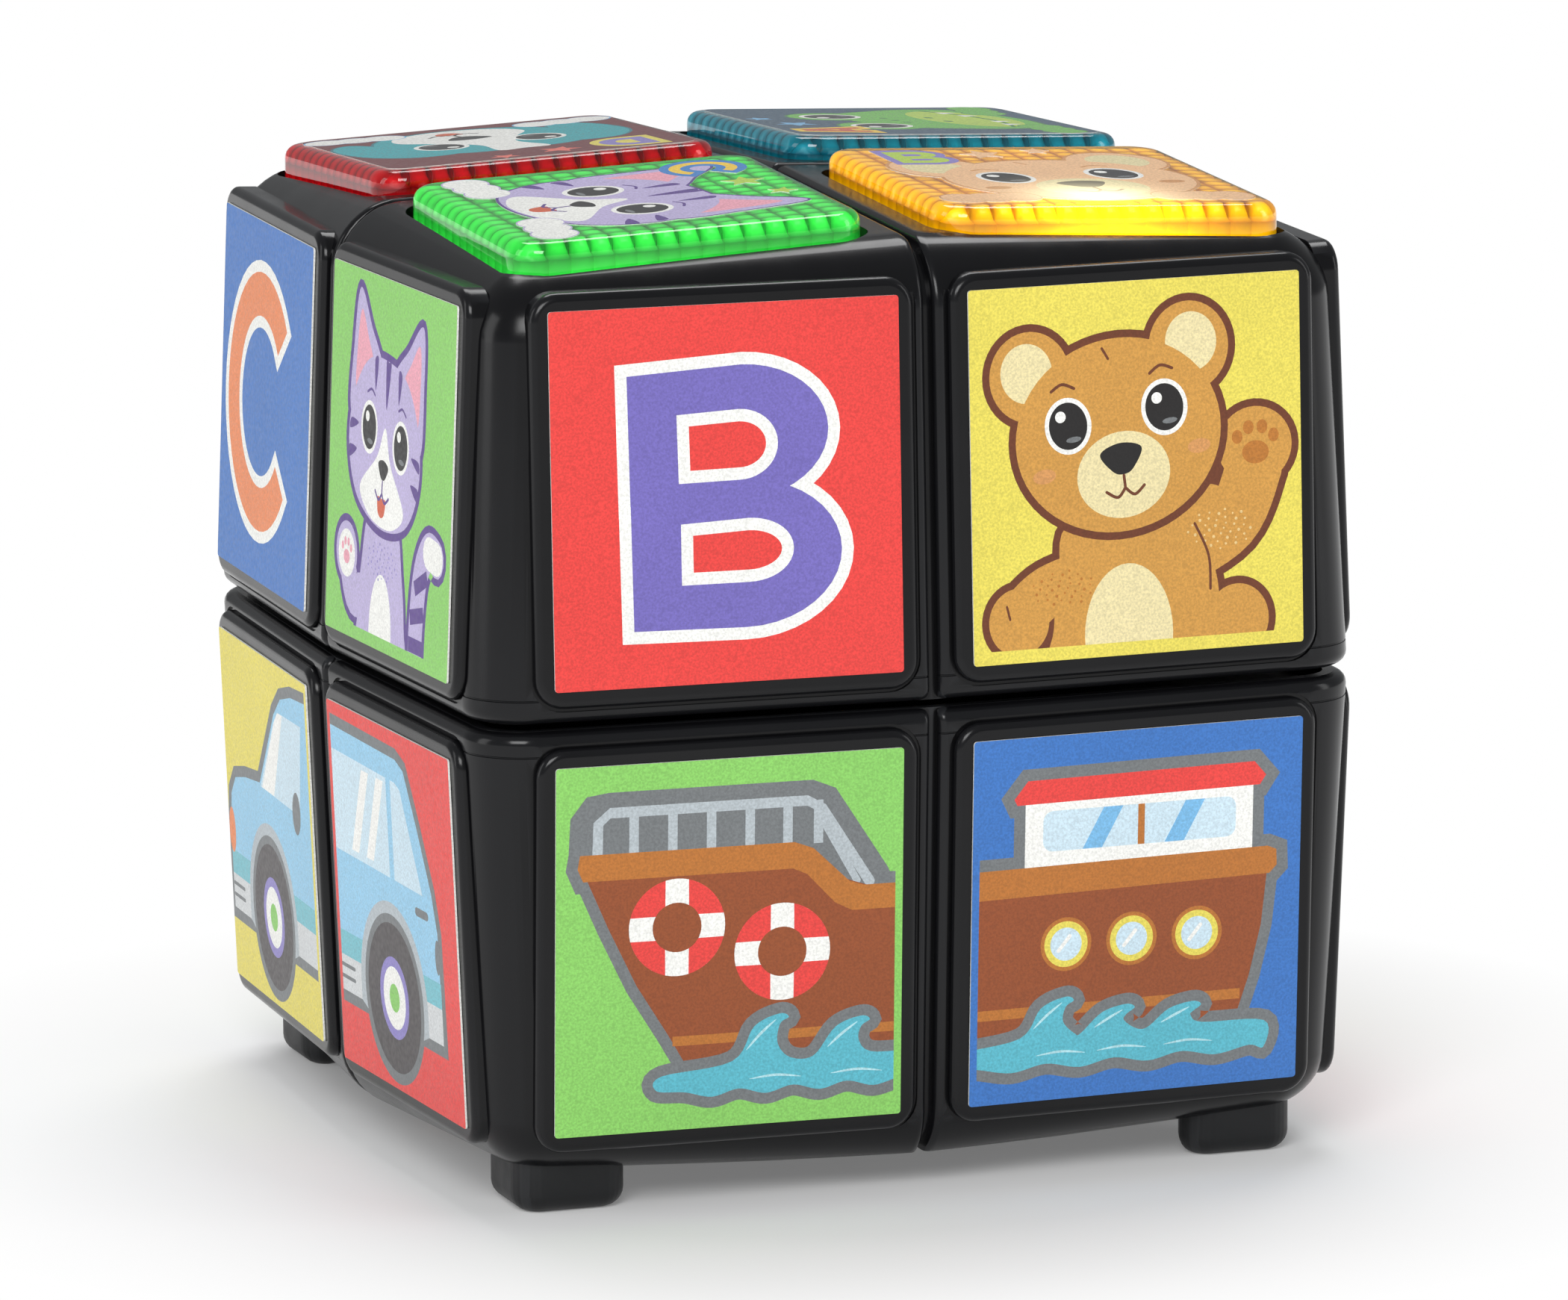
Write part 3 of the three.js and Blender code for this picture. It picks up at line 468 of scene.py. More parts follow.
# ---------------------------------------------------------------- button caps


def bump_block():
    """The grid of round bumps inside a clear cap, with flutes down its sides. Its highest point is at 0."""
    pitch, tall, per = BUMP["pitch"], BUMP["tall"], BUMP["steps"]
    count = BUMP["rows"] * per
    half = BUMP["rows"] * pitch / 2

    def swell(along):
        """0 between two bumps and 1 on the middle of a bump."""
        return math.sqrt(max(1 - (2 * ((along + half) / pitch % 1) - 1) ** 2, 0))

    points = []
    for j in range(count + 1):
        for i in range(count + 1):
            x, y = i * pitch / per - half, j * pitch / per - half
            out_x = BUMP["flute"] * swell(y) * ((i == count) - (i == 0))
            out_y = BUMP["flute"] * swell(x) * ((j == count) - (j == 0))
            points.append((x + out_x, y + out_y, tall * (swell(x) * swell(y) - 1)))
    row = count + 1
    faces = [(j * row + i, j * row + i + 1, (j + 1) * row + i + 1, (j + 1) * row + i)
             for j in range(count) for i in range(count)]
    rim = list(range(row)) + [j * row + count for j in range(1, row)]
    rim += [count * row + i for i in range(count - 1, -1, -1)] + [j * row for j in range(count - 1, 0, -1)]
    start = len(points)
    points += [(*points[i][:2], -BUMP["deep"]) for i in rim]
    lower = list(range(start, len(points)))
    faces += [(rim[i - 1], rim[i], lower[i], lower[i - 1]) for i in range(len(rim))]
    faces.append(tuple(lower))
    block_of_bumps = mesh_object("bumps", points, faces)
    # Relief runs from 1 on the bumps' tops down to BUMP["dimmest"] between them; it drives their painted
    # shade.
    relief = block_of_bumps.data.attributes.new("Relief", "FLOAT", "POINT")
    lit = [max(1 + p[2] / tall, BUMP["dimmest"]) if n < start else 1 for n, p in enumerate(points)]
    relief.data.foreach_set("value", lit)
    return block_of_bumps


def lean_cap(obj):
    """Tilts a piece made about a button's middle, so that it falls away towards +X and +Y."""
    for vertex in obj.data.vertices:
        vertex.co.z -= LEAN * (vertex.co.x + vertex.co.y)
    return obj


def cap_spot(signs):
    turn = math.atan2(signs[1], signs[0]) - math.pi / 4
    return Matrix.Translation((signs[0] * CAP["at"], signs[1] * CAP["at"], 0)) @ Matrix.Rotation(turn, 4, "Z")


def button_caps(clear, inner):
    """Each cap is a clear body with its bumps inside."""
    top = MID + TOP + CAP["proud"]
    low = top - CAP["thick"]
    blank = lean_cap(pad(CAP["size"], CAP["size"], CAP["corner"], low, top, CAP["fillet"], 6))
    add(blank, rod(0, 0, 5, (107.6, low + 2), 24))
    bumps = lean_cap(placed(bump_block(), Matrix.Translation((0, 0, top - BUMP["cover"]))))
    for name, signs in QUARTERS.items():
        body = f"button_{name}"
        cap = copy_of(blank, "cap", cap_spot(signs))
        finish_piece(cap, f"cap_{name}", body, [body], [clear[name]], 28)
        cap.visible_shadow = False
        field = copy_of(bumps, "bumps", cap_spot(signs))
        finish_piece(field, f"cap_bumps_{name}", body, (), [inner[name]], 40)
    bpy.data.objects.remove(blank)
    bpy.data.objects.remove(bumps)


# ---------------------------------------------------------------- flat drawing


def ellipse(x, y, rx, ry=None, turn=0.0, steps=40):
    ry = rx if ry is None else ry
    points = np.array(arc((0, 0), 1, 0, 360 - 360 / steps, steps - 1)) * (rx, ry)
    return spun(points, turn) + (x, y)


def spun(points, turn):
    c, s = math.cos(math.radians(turn)), math.sin(math.radians(turn))
    return np.asarray(points, float) @ np.array([[c, s], [-s, c]])


def poly(*points):
    return np.array(points, float)


def rect(x0, y0, x1, y1, corner=0.0):
    if not corner:
        return poly((x0, y0), (x1, y0), (x1, y1), (x0, y1))
    outline = round_square(x1 - x0, y1 - y0, corner, 5)
    return np.array(outline) + ((x0 + x1) / 2, (y0 + y1) / 2)


def flow(points, closed=True, steps=7):
    """A smooth curve through points."""
    points = np.array(points, float)
    count = len(points)
    out = []
    for i in range(count if closed else count - 1):
        near = [k % count if closed else min(max(k, 0), count - 1) for k in range(i - 1, i + 3)]
        p0, p1, p2, p3 = points[near]
        for t in (k / steps for k in range(steps)):
            out.append(0.5 * (2 * p1 + (p2 - p0) * t + (2 * p0 - 5 * p1 + 4 * p2 - p3) * t * t
                              + (3 * p1 - p0 - 3 * p2 + p3) * t ** 3))
    if not closed:
        out.append(points[-1])
    return np.array(out)


def line(points, width, smooth_line=True, taper=False):
    """A stroke of a width along points, with round ends, or tapering to its ends."""
    path = flow(points, False) if smooth_line and len(points) > 2 else np.array(points, float)
    along = np.gradient(path, axis=0)
    along /= np.linalg.norm(along, axis=1)[:, None] + 1e-9
    side = np.stack([-along[:, 1], along[:, 0]], 1)
    share = np.linspace(0, 1, len(path))
    half = width / 2 * (np.sin(np.pi * np.clip(share, 0.03, 0.97)) ** 0.7 if taper else np.ones(len(path)))
    left, right = path + side * half[:, None], path - side * half[:, None]
    if taper:
        return np.vstack([left, right[::-1]])
    head = math.degrees(math.atan2(along[-1][1], along[-1][0]))
    tail = math.degrees(math.atan2(along[0][1], along[0][0]))
    tip = np.array(arc(path[-1], width / 2, head + 90, head - 90, 6))[1:-1]
    end = np.array(arc(path[0], width / 2, tail - 90, tail - 270, 6))[1:-1]
    return np.vstack([left, tip, right[::-1], end])


def band(x, y, rx, ry, start, end, width):
    """An open ring from one angle to another, cut square at its ends."""
    outer = np.array(arc((0, 0), 1, start, end, 36))
    inner = outer[::-1]
    half = width / 2
    return np.vstack([outer * (rx + half, ry + half), inner * (rx - half, ry - half)]) + (x, y)


def star(x, y, radius, turn=90):
    rays = [(radius if i % 2 == 0 else radius * 0.45, turn + 36 * i) for i in range(10)]
    return np.array([(x + r * math.cos(math.radians(a)), y + r * math.sin(math.radians(a))) for r, a in rays])


def area(points):
    x, y = points[:, 0], points[:, 1]
    return 0.5 * float(np.sum(x * np.roll(y, -1) - np.roll(x, -1) * y))


def grown(points, by):
    """The outline moved outwards by a distance, with corners kept sharp up to a limit."""
    points = points if area(points) > 0 else points[::-1]
    ahead = np.roll(points, -1, axis=0) - points
    ahead /= np.linalg.norm(ahead, axis=1)[:, None] + 1e-9
    before = np.roll(ahead, 1, axis=0)
    normal = np.stack([ahead[:, 1] + before[:, 1], -ahead[:, 0] - before[:, 0]], 1)
    length = np.linalg.norm(normal, axis=1)[:, None] + 1e-9
    normal /= length
    reach = by / np.clip(length / 2, 0.45, 1)
    return points + normal * reach


class Drawing:
    """Shapes laid over each other in the order they're painted, in millimetres."""

    def __init__(self):
        self.shapes = []
        self.place = (0.0, 0.0, 1.0, 0.0)

    def at(self, x=0.0, y=0.0, scale=1.0, turn=0.0):
        self.place = (x, y, scale, turn)
        return self

    def paint(self, ink, *shapes):
        x, y, scale, turn = self.place
        for shape in shapes:
            self.shapes.append((spun(np.asarray(shape, float) * scale, turn) + (x, y), INK[ink]))

    def outlined(self, ink, edge, width, *shapes):
        self.paint(edge, *[grown(np.asarray(s, float), width) for s in shapes])
        self.paint(ink, *shapes)


def inside(shape, points):
    """Which points lie in the shape."""
    low, high = shape.min(0), shape.max(0)
    near = np.where(np.all((points >= low) & (points <= high), axis=1))[0]
    hit = np.zeros(len(points), bool)
    if not len(near):
        return hit
    px, py = points[near, 0][:, None], points[near, 1][:, None]
    x0, y0 = shape[:, 0], shape[:, 1]
    x1, y1 = np.roll(x0, -1), np.roll(y0, -1)
    crosses = (y0 > py) != (y1 > py)
    rise = np.where(y1 == y0, 1e-12, y1 - y0)
    left = px < (x1 - x0) * (py - y0) / rise + x0
    hit[near] = np.sum(crosses & left, axis=1) % 2 == 1
    return hit


def print_sheet(name, drawing, border, low, high):
    """A closed sheet that carries a drawing, in the border's outline or of the shapes alone if there's none.
    Each face of its top takes the colour of the last shape painted over it."""
    shapes = ([(border[0], border[1])] if border else []) + drawing.shapes
    points, edges = [], []
    for outline, _ in shapes:
        start = len(points)
        points += [Vector(p) for p in outline]
        edges += [(start + i, start + (i + 1) % len(outline)) for i in range(len(outline))]
    flat, _, faces, *_ = delaunay_2d_cdt(points, edges, [], 0, 1e-4, False)
    flat = np.array([tuple(p) for p in flat])
    middles = np.array([flat[list(f)].mean(0) for f in faces])
    colour = np.full(len(faces), -1)
    for index, (outline, _) in enumerate(shapes):
        colour[inside(outline, middles)] = index
    keep = colour >= 0
    if border:
        keep &= inside(border[0], middles)
    faces = [f if area(flat[list(f)]) > 0 else f[::-1] for f, k in zip(faces, keep) if k]
    inks = [shapes[c][1] for c, k in zip(colour, keep) if k]
    return thick_sheet(name, flat, faces, inks, low, high)


def thick_sheet(name, flat, faces, inks, low, high):
    used = sorted({i for f in faces for i in f})
    index = {v: n for n, v in enumerate(used)}
    count = len(used)
    faces = [tuple(index[i] for i in f) for f in faces]
    points = [(*flat[v], high) for v in used] + [(*flat[v], low) for v in used]
    sides = {}
    for f in faces:
        for a, b in zip(f, f[1:] + f[:1]):
            sides[(a, b)] = True
    rim = [(a, b) for a, b in sides if (b, a) not in sides]
    body = faces + [tuple(i + count for i in f[::-1]) for f in faces]
    body += [(b, a, a + count, b + count) for a, b in rim]
    mesh = bpy.data.meshes.new(name)
    mesh.from_pydata(points, [], body)
    attribute = mesh.color_attributes.new("Print", "FLOAT_COLOR", "CORNER")
    values = np.tile(np.array(INK["white"], np.float32), (len(mesh.loops), 1))
    corner = 0
    for ink, face in zip(inks, faces):
        values[corner : corner + len(face)] = ink
        corner += len(face)
    attribute.data.foreach_set("color", values.ravel())
    return in_scene(name, mesh)


# ---------------------------------------------------------------- block letters


def bowl(x, y, rx, ry):
    """The right half of an ellipse, from its bottom to its top."""
    return np.array(arc((0, 0), 1, -90, 90, 20)) * (rx, ry) + (x, y)


def letter_shapes(letter):
    """(bodies, holes) of a bold letter 32 mm tall about its middle."""
    if letter == "A":
        low_edge = [(14, -16), (6.4, -16), (4.6, -9.6), (-4.6, -9.6), (-6.4, -16)]
        outer = poly((-14, -16), (-4.8, 16), (4.8, 16), *low_edge)
        return [outer], [poly((-2.4, -2.6), (2.4, -2.6), (0, 5.6))]
    if letter == "B":
        lower = np.vstack([poly((-12, -16.2)), bowl(2.2, -7.4, 12.2, 9), poly((-12.2, 1.6))])
        upper = np.vstack([poly((-12.2, -1)), bowl(2.0, 7.4, 10.9, 8.2), poly((-12.4, 14.8))])
        low_hole = np.vstack([poly((-4.4, -9.4)), bowl(2.6, -7.0, 4.2, 2.4), poly((-4.4, -4.9))])
        high_hole = np.vstack([poly((-4.6, 3.0)), bowl(1.6, 5.9, 3.4, 2.8), poly((-4.7, 8.4))])
        return [lower, upper], [low_hole, high_hole]
    if letter == "C":
        return [band(-2.3, 0, 13.5, 13.8, 40, 320, 5.6)], []
    outer = np.vstack([poly((-12, -16)), bowl(-1, 0, 14.6, 16), poly((-12, 16))])
    inner = np.vstack([poly((-4.4, -8.2)), bowl(-1, 0, 6.4, 8.2), poly((-4.4, 8.2))])
    return [outer], [inner]


def draw_letter(d, letter, ink, edge, ground, width=1.5):
    bodies, holes = letter_shapes(letter)
    d.outlined(ink, edge, width, *bodies)
    if ground:
        d.outlined(ground, edge, width, *holes)
    else:
        d.paint(edge, *holes)


# ---------------------------------------------------------------- animals


def pair(shape):
    """A shape and its mirror image."""
    return [shape, shape * (-1, 1)]


def whole(*half):
    """A smooth symmetrical shape from its right half, listed from top to bottom."""
    return flow(list(half) + [(-x, y) for x, y in reversed(half) if x > 0])


def face(d, ink, eye, nose=None, mouth=None, tongue=False):
    """Eyes (height, half width, distance out), a nose (top, half width) and a smile (height, half width)."""
    height, wide, out = eye
    for x in (-out, out):
        d.paint("white", ellipse(x, height, wide * 1.22, wide * 1.38))
        d.paint("black", ellipse(x, height, wide, wide * 1.15))
        d.paint("white", ellipse(x - 0.34 * wide, height + 0.5 * wide, wide * 0.28, steps=16))
        d.paint("grey", ellipse(x + 0.2 * wide, height - 0.7 * wide, wide * 0.4, wide * 0.14, steps=12))
    if nose:
        top, half = nose
        tip = (0, top - 1.4 * half)
        d.paint("black", whole((0, top), (half, top - 0.35 * half), (half / 2, top - 1.2 * half), tip))
    if mouth:
        y, half = mouth
        if tongue:
            d.paint("tongue", whole((0, y - 0.5), (1.1, y - 0.5), (0.9, y - 1.9), (0, y - 2.4)))
        lip = line([(0, y), (half * 0.45, y - half * 0.4), (half, y - half * 0.05)], 0.3)
        d.paint(ink, line([(0, y + 1.2), (0, y)], 0.3), *pair(lip))


def speckles(d, ink, x, y, rx, ry, count):
    """Dots set out in a spiral over an ellipse."""
    for i in range(count):
        out, angle = math.sqrt((i + 0.5) / count), math.radians(137.5 * i)
        size = (0.13, 0.2, 0.16)[i % 3]
        d.paint(ink, ellipse(x + rx * out * math.cos(angle), y + ry * out * math.sin(angle), size, steps=8))


def bear_head(d, fur="fur", edge="bark", width=0.75):
    """A round bear's head about the origin, 22 mm across."""
    head = ellipse(0, 0, 10.8, 9.4, steps=56)
    d.outlined(fur, edge, width, *pair(ellipse(8.4, 7.2, 4.2, 4.4)), head)
    d.paint("cream", *pair(ellipse(8.7, 7.6, 2.7, 2.9)))
    d.paint(fur, head)
    d.paint("cream", ellipse(0, -3.9, 4.9, 4.2))
    d.paint("clay", *pair(ellipse(8.2, -2.6, 1.2, 0.7)))
    d.paint(edge, *pair(line([(4.0, 5.3), (5.2, 5.9), (6.4, 5.4)], 0.3)))
    d.paint(edge, line([(-0.6, 8.6), (-0.1, 7.5)], 0.26))
    face(d, "bark", (1.8, 2.0, 5.1), (-0.8, 2.2), (-5.2, 2.0))


def cat_head(d, fur="lavender", edge="plum", width=0.75):
    """A cat's head about the origin, 20 mm across."""
    ears = pair(flow([(9.6, 1.0), (10.0, 8.0), (9.0, 13.6), (5.4, 10.6), (1.8, 6.4)]))
    head = whole((0, 8.2), (5.6, 7.2), (9.4, 2.8), (9.9, -2.4), (6.8, -6.8), (0, -8.4))
    d.outlined(fur, edge, width, *ears, head)
    d.paint("pink", *pair(flow([(8.6, 3.4), (9.0, 8.4), (8.3, 11.6), (6.2, 9.4), (4.4, 6.6)])))
    d.paint(fur, head)
    d.paint("plum", whole((0, 8.1), (0.7, 7.9), (0, 3.4)), *pair(flow([(2.9, 7.8), (3.9, 7.5), (3.3, 4.6)])))
    d.paint("white", whole((0, 1.6), (1.9, -1.6), (6.2, -5.4), (3.8, -7.6), (0, -8.2)))
    d.paint("plum", *pair(flow([(9.6, 0.5), (7.5, 0.4), (9.8, -0.6)])))
    d.paint("plum", *pair(flow([(9.8, -2.2), (7.7, -2.2), (9.6, -3.4)])))
    d.paint("plum", *pair(line([(3.4, 4.1), (4.4, 4.5), (5.5, 4.0)], 0.26)))
    face(d, "plum", (0.7, 1.9, 4.5), (-1.6, 1.4), (-4.9, 1.9), True)


def dog_head(d, fur="teal", edge="teal_dark", width=0.75):
    """A dog's head with drooping ears about the origin, 21 mm across."""
    ear = flow([(5, 7.4), (9.4, 7.8), (12.4, 3.6), (12.2, -3.2), (9.6, -5.8), (7.8, -1.5), (7.4, 3.5)])
    head = whole((0, 9), (5.6, 8), (8.8, 3.8), (8.6, -2.4), (5.8, -7), (0, -9))
    d.outlined(fur, edge, width, head, *pair(ear))
    d.paint("white", whole((0, 9.1), (2.4, 9), (1.8, 4), (3.6, 0), (6, -3.6), (4.4, -7.3), (0, -8.8)))
    face(d, "black", (2.2, 1.9, 4.6), (-0.9, 2.0), (-4.9, 2.3), True)


def gator_head(d, skin="gator", edge="gator_dark", width=0.75):
    """An alligator's head seen from the front about the origin, 21 mm across."""
    head = whole((0, 6.4), (6.4, 5.2), (9.0, 1.0), (10.2, -4.0), (8.0, -7.8), (0, -9.0))
    d.outlined(skin, edge, width, *pair(ellipse(4.8, 6.4, 3.6, 3.8)), head)
    d.paint("lime", ellipse(0, -4.2, 8.2, 3.9))
    d.paint(edge, line([(-8.6, -4.4), (-4, -5.8), (0, -6.1), (4, -5.8), (8.6, -4.4)], 0.4))
    for x in (-6, -3, 3, 6):
        y = -5.6 + 0.02 * x * x
        d.paint("white", poly((x - 0.8, y), (x + 0.8, y), (x, y - 1.7)))
    d.paint(edge, *pair(ellipse(1.8, -1.6, 0.55, 0.4)), *[ellipse(x, 2.6, 0.5, 0.35) for x in (-2.2, 0, 2.2)])
    face(d, edge, (6.5, 2.0, 4.8))


BASE_LINE = -21.4  # where the animals are cut off


def head_and_base(d, head, x, y, turn, ground):
    """Adds the head, and cuts the picture off at its base line."""
    head(d.at(x, y, 1.27, turn))
    d.at().paint(ground, rect(-22, -26, 22, BASE_LINE))


def pads(d, x, y, size, ink):
    """The pads on a raised paw."""
    d.paint(ink, ellipse(x, y - 0.6 * size, size, 0.8 * size))
    for turn in (25, 70, 110, 155):
        toe = math.radians(turn)
        spot = x + 1.5 * size * math.cos(toe), y + 1.2 * size * math.sin(toe)
        d.paint(ink, ellipse(*spot, 0.4 * size, 0.48 * size))


def bear_picture(d):
    left_side, right_side = [(-8.6, -6), (-10.6, -13), (-11.4, -19)], [(10.8, -19), (10.2, -13), (7, -6)]
    body = flow(left_side + [(-11.2, -27), (10.6, -27)] + right_side)
    waving = [line([(4, -12), (12.4, -7.6), (15.8, -0.6)], 7.6), ellipse(15.8, 1.8, 5.0, 4.8)]
    resting = [line([(-6, -12.6), (-12, -14.4), (-15.4, -17)], 6.4), ellipse(-16, -18, 4.0, 4.2)]
    shoulder, foot = ellipse(9.2, -6.6, 4), ellipse(13.2, -19.6, 4.2, 4.4)
    d.outlined("fur", "bark", 0.95, body, foot, *waving, shoulder, *resting)
    d.paint("cream", ellipse(-1.4, -20.5, 5.9, 8.8))
    pads(d, 15.9, 2.0, 1.8, "fur_dark")
    speckles(d, "sand", 11, -8.2, 4.4, 2.6, 40)
    speckles(d, "fur_dark", -10, -14.2, 4.4, 2.2, 34)
    d.paint("bark", line([(7.6, -7.4), (9.4, -11.4), (9.6, -15.6)], 0.34))
    d.paint("bark", line([(-17.6, -16), (-17.2, -17.6)], 0.3))
    head_and_base(d, bear_head, -2.4, 4.2, 7, "yellow")


def cat_picture(d):
    tail = line([(10.4, -25), (10.6, -17.6), (11.8, -11.4), (14.4, -8.2), (17.4, -8.6)], 4.8)
    left_side, right_side = [(-6.6, -6), (-9.4, -13), (-10.2, -19)], [(6.4, -19), (5.2, -13), (2.4, -6)]
    body = flow(left_side + [(-10.2, -27), (6.8, -27)] + right_side)
    arm = [line([(-6, -16.4), (-12, -17.4), (-14.6, -13.4)], 5.6), ellipse(-14.8, -12.6, 3.8)]
    d.outlined("lavender", "plum", 0.9, tail, body, *arm)
    for x, y, turn in ((10.5, -20.4, 0), (10.8, -16.6, 12), (12.0, -12.4, 24)):
        d.paint("plum", spun(rect(-2.4, -0.95, 2.4, 0.95), turn) + (x, y))
    d.paint("white", line([(14.6, -8.3), (17.4, -8.6)], 4.2))
    d.paint("white", ellipse(-14.8, -12.8, 3.0), ellipse(-2.2, -21, 4.0, 7.4))
    pads(d, -14.8, -12.6, 1.1, "pink")
    speckles(d, "lilac", -2, -12, 5.6, 2.4, 50)
    head_and_base(d, cat_head, -2.2, 2.6, -5, "green")


def dog_picture(d):
    body = whole((0, -2.4), (6, -3), (9.8, -11), (11.2, -18), (11, -27))
    d.outlined("teal", "teal_dark", 0.9, line([(9, -19), (15, -17.5), (17.6, -11)], 4.6), body)
    d.paint("white", ellipse(0, -17.5, 5.8, 9))
    d.outlined("white", "teal_dark", 0.6, *pair(rect(3.2, -27, 9.6, -17, 3)))
    d.outlined("sun", "orange", 0.4, ellipse(0, -8.6, 1.9))
    head_and_base(d, dog_head, 0, 4.4, 4, "red")


def gator_picture(d):
    tail = line([(6, -17), (15.6, -17.5), (19.0, -10.2), (17.8, -3.2)], 5.2, taper=True)
    body = whole((0, -2.4), (6.2, -3), (9.8, -10), (11, -17), (10.6, -27))
    arms = [line([(-7, -9.5), (-13, -10), (-16.6, -4)], 5), line([(7, -10), (12.4, -13.6), (11.4, -18)], 4.8)]
    d.outlined("gator", "gator_dark", 0.9, tail, body, *arms)
    d.paint("lime", ellipse(0, -18, 6.4, 10))
    for y in (-13, -16.4, -19.8):
        d.paint("gator", line([(-5.2, y), (0, y - 0.8), (5.2, y)], 0.45))
    head_and_base(d, gator_head, 0, 4.2, 0, "blue")


# ---------------------------------------------------------------- vehicles, each in two halves on two labels

JOIN = 21.1  # where half a vehicle is cut off, from the middle of its label


def cut_off(d, side, ground):
    """Ground colour over the margin on the side of the other half."""
    low, high = sorted((side * JOIN, side * 26))
    d.paint(ground, rect(low, -26, high, 26))


def grey_behind(d, width, *shapes):
    d.paint("grey", *[grown(shape, width) for shape in shapes])


def sea(d, start, end, crests):
    """Water with a curling crest at each (x, height)."""
    top = [(start, -16.2)]
    for x, tall in crests:
        top += [(x - 4.2, -14.9), (x - 1.4, -14.9 + tall * 0.75), (x + 1.8, -14.9 + tall)]
        top += [(x + 3.0, -15.4 + tall), (x + 1.9, -16.2 + tall), (x + 1.6, -14.7 + tall * 0.3)]
        top.append((x + 3.2, -14.9))
    low = [(x, -18.4 - 0.8 * (i % 2)) for i, x in enumerate(np.linspace(end - 2, start + 3, 9))]
    water = flow(top + [(end, -15.4), (end, -18.8)] + low + [(start - 0.6, -18.0)], True, 6)
    d.outlined("wave", "grey", 1.4, water)
    for x, tall in crests:
        curl = [(x - 2.4, -15.3 + tall * 0.3), (x - 0.6, -15.6 + tall * 0.7), (x + 1.4, -15.6 + tall)]
        d.paint("foam", line(curl, 0.34, taper=True))
        d.paint("foam", line([(x - 2, -17.3), (x + 1.4, -17.0), (x + 4.6, -17.4)], 0.3, taper=True))


def life_ring(d, x, y):
    d.paint("white", ellipse(x, y, 6.1, steps=56))
    for turn in (0, 90, 180, 270):
        outer, inner = arc((x, y), 6.1, turn + 14, turn + 76, 12), arc((x, y), 3.0, turn + 60, turn + 30, 6)
        d.paint("red", np.array(outer + inner))
    d.paint("wood", ellipse(x, y, 3.1))


def boat_bow(d):
    rail_front, rail_back = [(-19, 12), (-18.8, 16.2), (-17.4, 18), (-15.2, 18.3)], [(19.2, 7), (24, 6.4)]
    rail = poly(*rail_front, (10.2, 18.3), (12.4, 17.4), *rail_back)
    rim_top = [(-19, 12.1), (8.2, 12.1), (10.6, 11.2), (15.2, 6.8), (17, 6.2), (24, 6.2)]
    rim_low = [(24, 3.1), (15.6, 3.1), (13.4, 4.2), (9.8, 8), (8, 8.8), (-18.6, 8.8), (-19.3, 10.4)]
    rim = poly(*rim_top, *rim_low)
    stem = [(-18.3, 9.4), (-15.4, 2.8), (-11.8, -4.6), (-7.8, -11), (-4.6, -16.5)]
    hull = poly(*stem, (24, -16.5), (24, 4), (9, 9))
    grey_behind(d, 1.45, rail, rim, hull)
    bar = [(-16.8, 12), (-16.7, 15.9), (-15.2, 17.2), (9.8, 17.2), (11.6, 16.2), (17.8, 6.6)]
    d.paint("pale_grey", line(bar, 1.3, False), line([(11.2, 15.6), (16.2, 6.8)], 0.9))
    d.paint("pale_grey", *[rect(x - 0.6, 11.8, x + 0.6, 17.2) for x in (-12.2, -7.3, -2.4, 2.5, 7.3, 11.2)])
    d.paint("wood", hull)
    d.paint("rim", rim, rect(-7.2, -12.5, 24, -11.3))
    life_ring(d, -6.7, 2.4)
    life_ring(d, 6.7, -1.5)
    sea(d, -8.6, 24, ((4.6, 5.6), (15.0, 4.6)))
    cut_off(d, 1, "green")


def boat_stern(d):
    rim = poly((-24, 6.6), (17.6, 6.9), (18.8, 6.4), (18.9, 4.4), (17.9, 3.4), (-24, 2.9))
    hull = poly((-24, 4), (17.6, 4), (16.9, -3), (15.4, -9.4), (13, -16.5), (-24, -16.5))
    cabin = rect(-15.1, 5, 15.5, 15.4)
    roof = poly((-16.6, 15.4), (-14.8, 17.6), (15.6, 17.8), (17.2, 16), (16.4, 14.8), (-16.2, 14.6))
    grey_behind(d, 1.5, rim, hull, cabin, roof)
    d.paint("wood", hull)
    d.paint("white", cabin)
    d.paint("red", roof)
    d.paint("rim", rim, rect(-24, -12.3, 14.2, -11.0))
    d.paint("glass", rect(-12.7, 8.5, 13.2, 13.6, 1.3))
    d.paint("sky", *[poly((x, 8.5), (x + 2.6, 8.5), (x + 5.4, 13.6), (x + 2.8, 13.6)) for x in (-7.4, 3.6)])
    d.paint("rim", rect(0.0, 8.5, 0.9, 13.6))
    for x in (-9.4, -0.6, 8.2):
        d.outlined("yellow", "rim", 0.5, ellipse(x, -3.4, 2.9))
        d.paint("glass", ellipse(x, -3.4, 2.1))
        d.paint("white", line([(x - 1.0, -4.2), (x + 0.5, -2.4)], 0.5))
    sea(d, -24, 17.6, ((-11.2, 4.8), (-3.0, 3.2), (6.0, 2.8)))
    cut_off(d, -1, "blue")


def wheel(d, x, y, radius, *hubs):
    """A tyre with an outline, and (ink, share of its radius) for each disc on it."""
    d.outlined("tyre", "grey", 0.12 * radius, ellipse(x, y, radius, steps=60))
    for ink, share in hubs:
        d.paint(ink, ellipse(x, y, radius * share))


